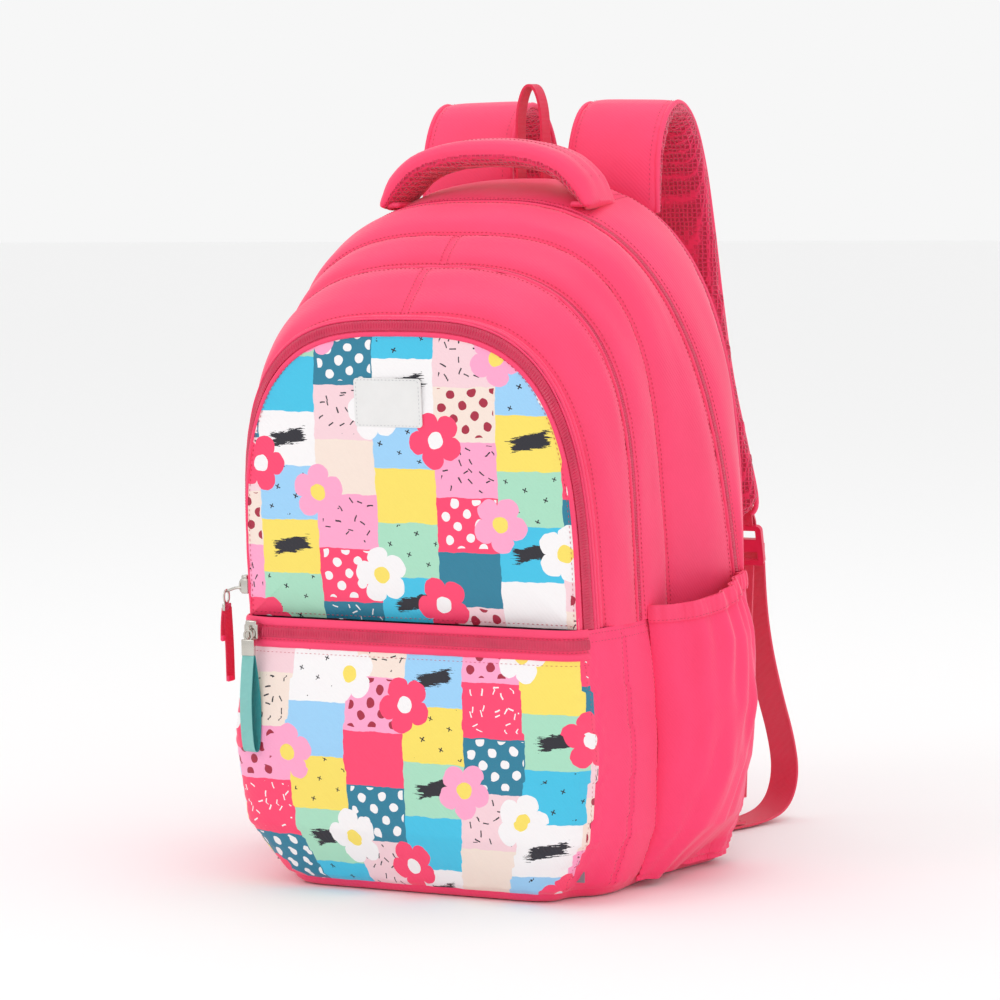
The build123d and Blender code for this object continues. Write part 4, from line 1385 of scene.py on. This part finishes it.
def bends_back(obj, name):
    """Bakes the lower webbing's place into its mesh and hides the CAD part it stands for."""
    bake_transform(obj)
    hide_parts(f"lower_webbing_{name}")


# ---- sliders and pulls ----
def slider_piece(name, node, out, body):
    """A nickel slider: a waisted body and a bridge over it."""
    low, high = (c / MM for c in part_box(node))
    middle = (low + high) / 2
    out = Vector(out)
    size = high - low
    parts = [block(name, middle - out * 0.6, [s * 0.92 for s in size], 1.1, nickel)]
    parts.append(block(name + "_nose", middle + Vector((0, 0, size.z * 0.30)), [s * 0.75 for s in size], 1.0,
        nickel))
    top = middle + out * (size.dot(Vector([abs(c) for c in out])) / 2)
    arch = [top + Vector((0, 0, z)) + out * h for z,
        h in ((4, -0.8), (3.4, 1.4), (1, 2.3), (-2, 2.3), (-4, 1.2), (-4.4, -0.8))]
    parts.append(bar(name + "_bridge", smooth_line(arch, 24), 0.8, nickel))
    made = join(parts)
    on(made, body, "nickel", node)
    return top


def pulls():
    """Every zip's slider and its fabric pull."""
    slider_piece("pocket_slider_metal", "pocket_slider", (0, -1, 0), "pocket_slider")
    slider_piece("front_slider_metal", "front_slider", (-1, 0, 0), "front_slider")
    slider_piece("middle_slider_metal", "middle_slider", (-1, 0, 0), "middle_slider")
    slider_piece("main_slider_metal", "main_slider", (-1, 0, 0), "main_slider")
    for name, ends in (("front", (163, 135)), ("middle", (172, 158)), ("main", (252, 232))):
        low, high = (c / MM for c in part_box(f"{name}_pull"))
        x, y = (low.x + high.x) / 2, (low.y + high.y) / 2
        parts = []
        ring = [Vector((x, y + 3.4 * math.sin(t), high.z - 4.5 + 4.5 * math.cos(t))) for t in
                [2 * math.pi * i / 24 for i in range(25)]]
        parts.append(bar(name + "_link", ring, 0.8, nickel))
        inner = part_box(f"{name}_slider")[0].x / MM + 1.5
        arm = [Vector((inner, y, high.z + 2)), Vector(((x + inner) / 2, y, high.z + 1.5)),
            Vector((x, y, high.z - 1))]
        parts.append(bar(name + "_arm", smooth_line(arm, 12), 1.0, nickel))
        parts.append(block(name + "_crimp", (x, y, high.z - 11.5), (2.6, 9, 5), 0.7, nickel))
        for k, end in enumerate(ends):
            drift = (-1, 1)[k]
            top_z = high.z - 12
            route = [Vector((x + drift * 0.5, y, top_z)),
                Vector((x + drift * 0.9, y + drift * 1.2, (top_z + end) / 2)),
                     Vector((x + drift * 0.7, y + drift * 2.2, end))]
            parts.append(ribbon(name + "_tape", route, (0.25, 1, 0.05 * drift), 7.5, 1.1, webbing, count=30))
            parts.append(block(name + "_tip", (x + drift * 0.7, y + drift * 2.2, end + 1.5), (2.4, 8.2, 4),
                0.9, pink))
        made = join(parts)
        made.name = f"{name}_pull_tape"
        on(made, f"{name}_pull", "pink_webbing", f"{name}_pull")

    low, high = (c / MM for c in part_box("pocket_pull_clamp"))
    middle = (low + high) / 2
    parts = [block("pocket_clamp", middle, [s * 0.96 for s in (high - low)], 0.8, nickel)]
    link = [Vector((middle.x + 3 * math.sin(t), middle.y, high.z + 2.5 + 3.4 * math.cos(t))) for t in
            [2 * math.pi * i / 24 for i in range(25)]]
    parts.append(bar("pocket_link", link, 0.75, nickel))
    on(join(parts), "pocket_pull", "nickel", "pocket_pull_clamp")
    low, high = (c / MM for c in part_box("pocket_pull_ribbon"))
    x = (low.x + high.x) / 2
    front = ((0.0, -111.2, 158), (-0.6, -112.4, 146), (-1.4, -113.2, 128), (-1.2, -113.0, 108),
        (-0.4, -112.2, 96),
             (0.6, -110.6, 93.4), (1.6, -109.2, 96), (2.6, -108.6, 108), (2.8, -108.6, 128),
             (1.4, -109.4, 146), (0.3, -110.4, 158))
    tape = ribbon("pocket_pull_tape", [Vector((x + dx, y, z)) for dx, y, z in front], (1, -0.12, 0), 9.6, 0.7,
                  deep_teal, teal, count=100)
    on(tape, "pocket_pull", "teal_ribbon", "pocket_pull_ribbon")


def label_patch():
    """A blank rounded patch with a stitched border."""
    low, high = (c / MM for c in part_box("label_patch"))
    middle, half = (low + high) / 2, (high - low) / 2
    wide, tall, corner = half.x, half.z, 2.5
    outline = []
    for cx, cz, turn in ((1, 1, 0), (-1, 1, 90), (-1, -1, 180), (1, -1, 270)):
        for i in range(7):
            angle = math.radians(turn + 15 * i)
            outline.append((cx * (wide - corner) + corner * math.cos(angle),
                cz * (tall - corner) + corner * math.sin(angle)))

    def front(x, z, inset):
        slope = (374 - z - middle.z) * 0.06
        bend = -104 + slope - 5.9 + 0.0006 * x * x
        return Vector((middle.x + x * inset, bend - 1.0, middle.z + z * inset))
    verts = [front(x, z, 1.0) for x, z in outline] + [front(x, z, 1.0) + Vector((0, 1.3, 0)) for x,
        z in outline]
    n = len(outline)
    faces = [tuple(range(n)), tuple(range(n, 2 * n))[::-1]]
    faces += [(i, (i + 1) % n, n + (i + 1) % n, n + i) for i in range(n)]
    patch = mesh_of("label_patch_blank", verts, faces, white)
    edit(patch, (bpy.ops.mesh.normals_make_consistent, {"inside": False}))
    apply_modifier(patch, "BEVEL", width=0.0004, segments=2, limit_method="ANGLE")
    border = [front(x, z, 0.93) - Vector((0, 0.1, 0)) for x, z in outline + outline[:1]]
    seam = stitches("patch_stitch", border, lambda p: Vector((0, -1, 0)), pitch=2.6, length=1.7, thick=0.4)
    seam.data.materials.clear()
    seam.data.materials.append(patch_thread)
    on(join([patch, seam]), "front_flap", "white_leatherette", "label_patch")


# ---- CAD parts that stay ----
def dress_cad_nodes():
    """Materials for the CAD parts that keep their own shape. The back's foam and board take the pink side twill."""
    stay = {
        "main_divider": lining, "middle_divider": lining, "pocket_back_wall": lining, "laptop_sleeve": foam,
        "base_board": board, "back_board": panel_pink, "back_foam": panel_pink, "ladder_lock_left": acetal,
        "ladder_lock_right": acetal,
    }
    for node, material in stay.items():
        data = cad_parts[node].data
        data.materials.clear()
        data.materials.append(material)


# ---- light, floor and camera ----
WORLD_LIGHT = 1.0
LIGHTS = (  # name, place in m, size in m, power in W
    ("key", (-1.6, -2.2, 2.4), 1.2, 10),
    ("fill", (2.6, -1.6, 1.2), 1.6, 6),
    ("top", (0.2, 0.2, 2.6), 1.0, 7),
)
CAMERA_AZIMUTH, CAMERA_ELEVATION, CAMERA_ROLL = math.radians(26), math.radians(5.747), math.radians(0.837)
CAMERA_DISTANCE, CAMERA_AIM = 2.53914, (0, 0, 0.24)


def look_at(obj, target):
    """Turns a light or camera to a point."""
    obj.rotation_euler = (Vector(target) - obj.location).to_track_quat("-Z", "Y").to_euler()


def studio():
    """Pale floor, soft light and the camera."""
    bpy.ops.mesh.primitive_plane_add(size=30)
    floor = bpy.context.object
    floor.name = "studio_floor"
    floor_paint, _, _ = new_material("floor_paint", "#FAFAFA", 0.9)
    floor.data.materials.append(floor_paint)
    world = bpy.data.worlds.new("studio")
    world.use_nodes = True
    sky = world.node_tree.nodes["Background"]
    sky.inputs[0].default_value = linear("#F7F7F7")
    sky.inputs[1].default_value = WORLD_LIGHT
    bpy.context.scene.world = world
    for name, place, size, power in LIGHTS:
        data = bpy.data.lights.new(name, "AREA")
        data.energy, data.size = power, size
        lamp = bpy.data.objects.new(name, data)
        lamp.location = place
        bpy.context.collection.objects.link(lamp)
        look_at(lamp, (0, 0, 0.25))

    level_way = Vector((math.sin(CAMERA_AZIMUTH), -math.cos(CAMERA_AZIMUTH), 0))
    back = level_way * math.cos(CAMERA_ELEVATION) + Vector((0, 0, math.sin(CAMERA_ELEVATION)))
    lens = bpy.data.cameras.new("camera")
    lens.lens, lens.sensor_width = 135, 36
    lens.shift_x, lens.shift_y = 0.0285, 0.0220
    lens.clip_end = 60
    camera = bpy.data.objects.new("camera", lens)
    bpy.context.collection.objects.link(camera)
    camera.location = Vector(CAMERA_AIM) + back * CAMERA_DISTANCE
    turn = (-back).to_track_quat("-Z", "Y").to_matrix().to_4x4() @ Matrix.Rotation(-CAMERA_ROLL, 4, "Z")
    camera.rotation_euler = turn.to_euler()
    bpy.context.scene.camera = camera
    bpy.context.scene.view_settings.view_transform = "Standard"


upper_strips()
upper_panel()
lower_body()
pockets()
handle_and_loop()
back_side()
webbing_parts()
pulls()
label_patch()
dress_cad_nodes()
shoulder_straps()
studio()
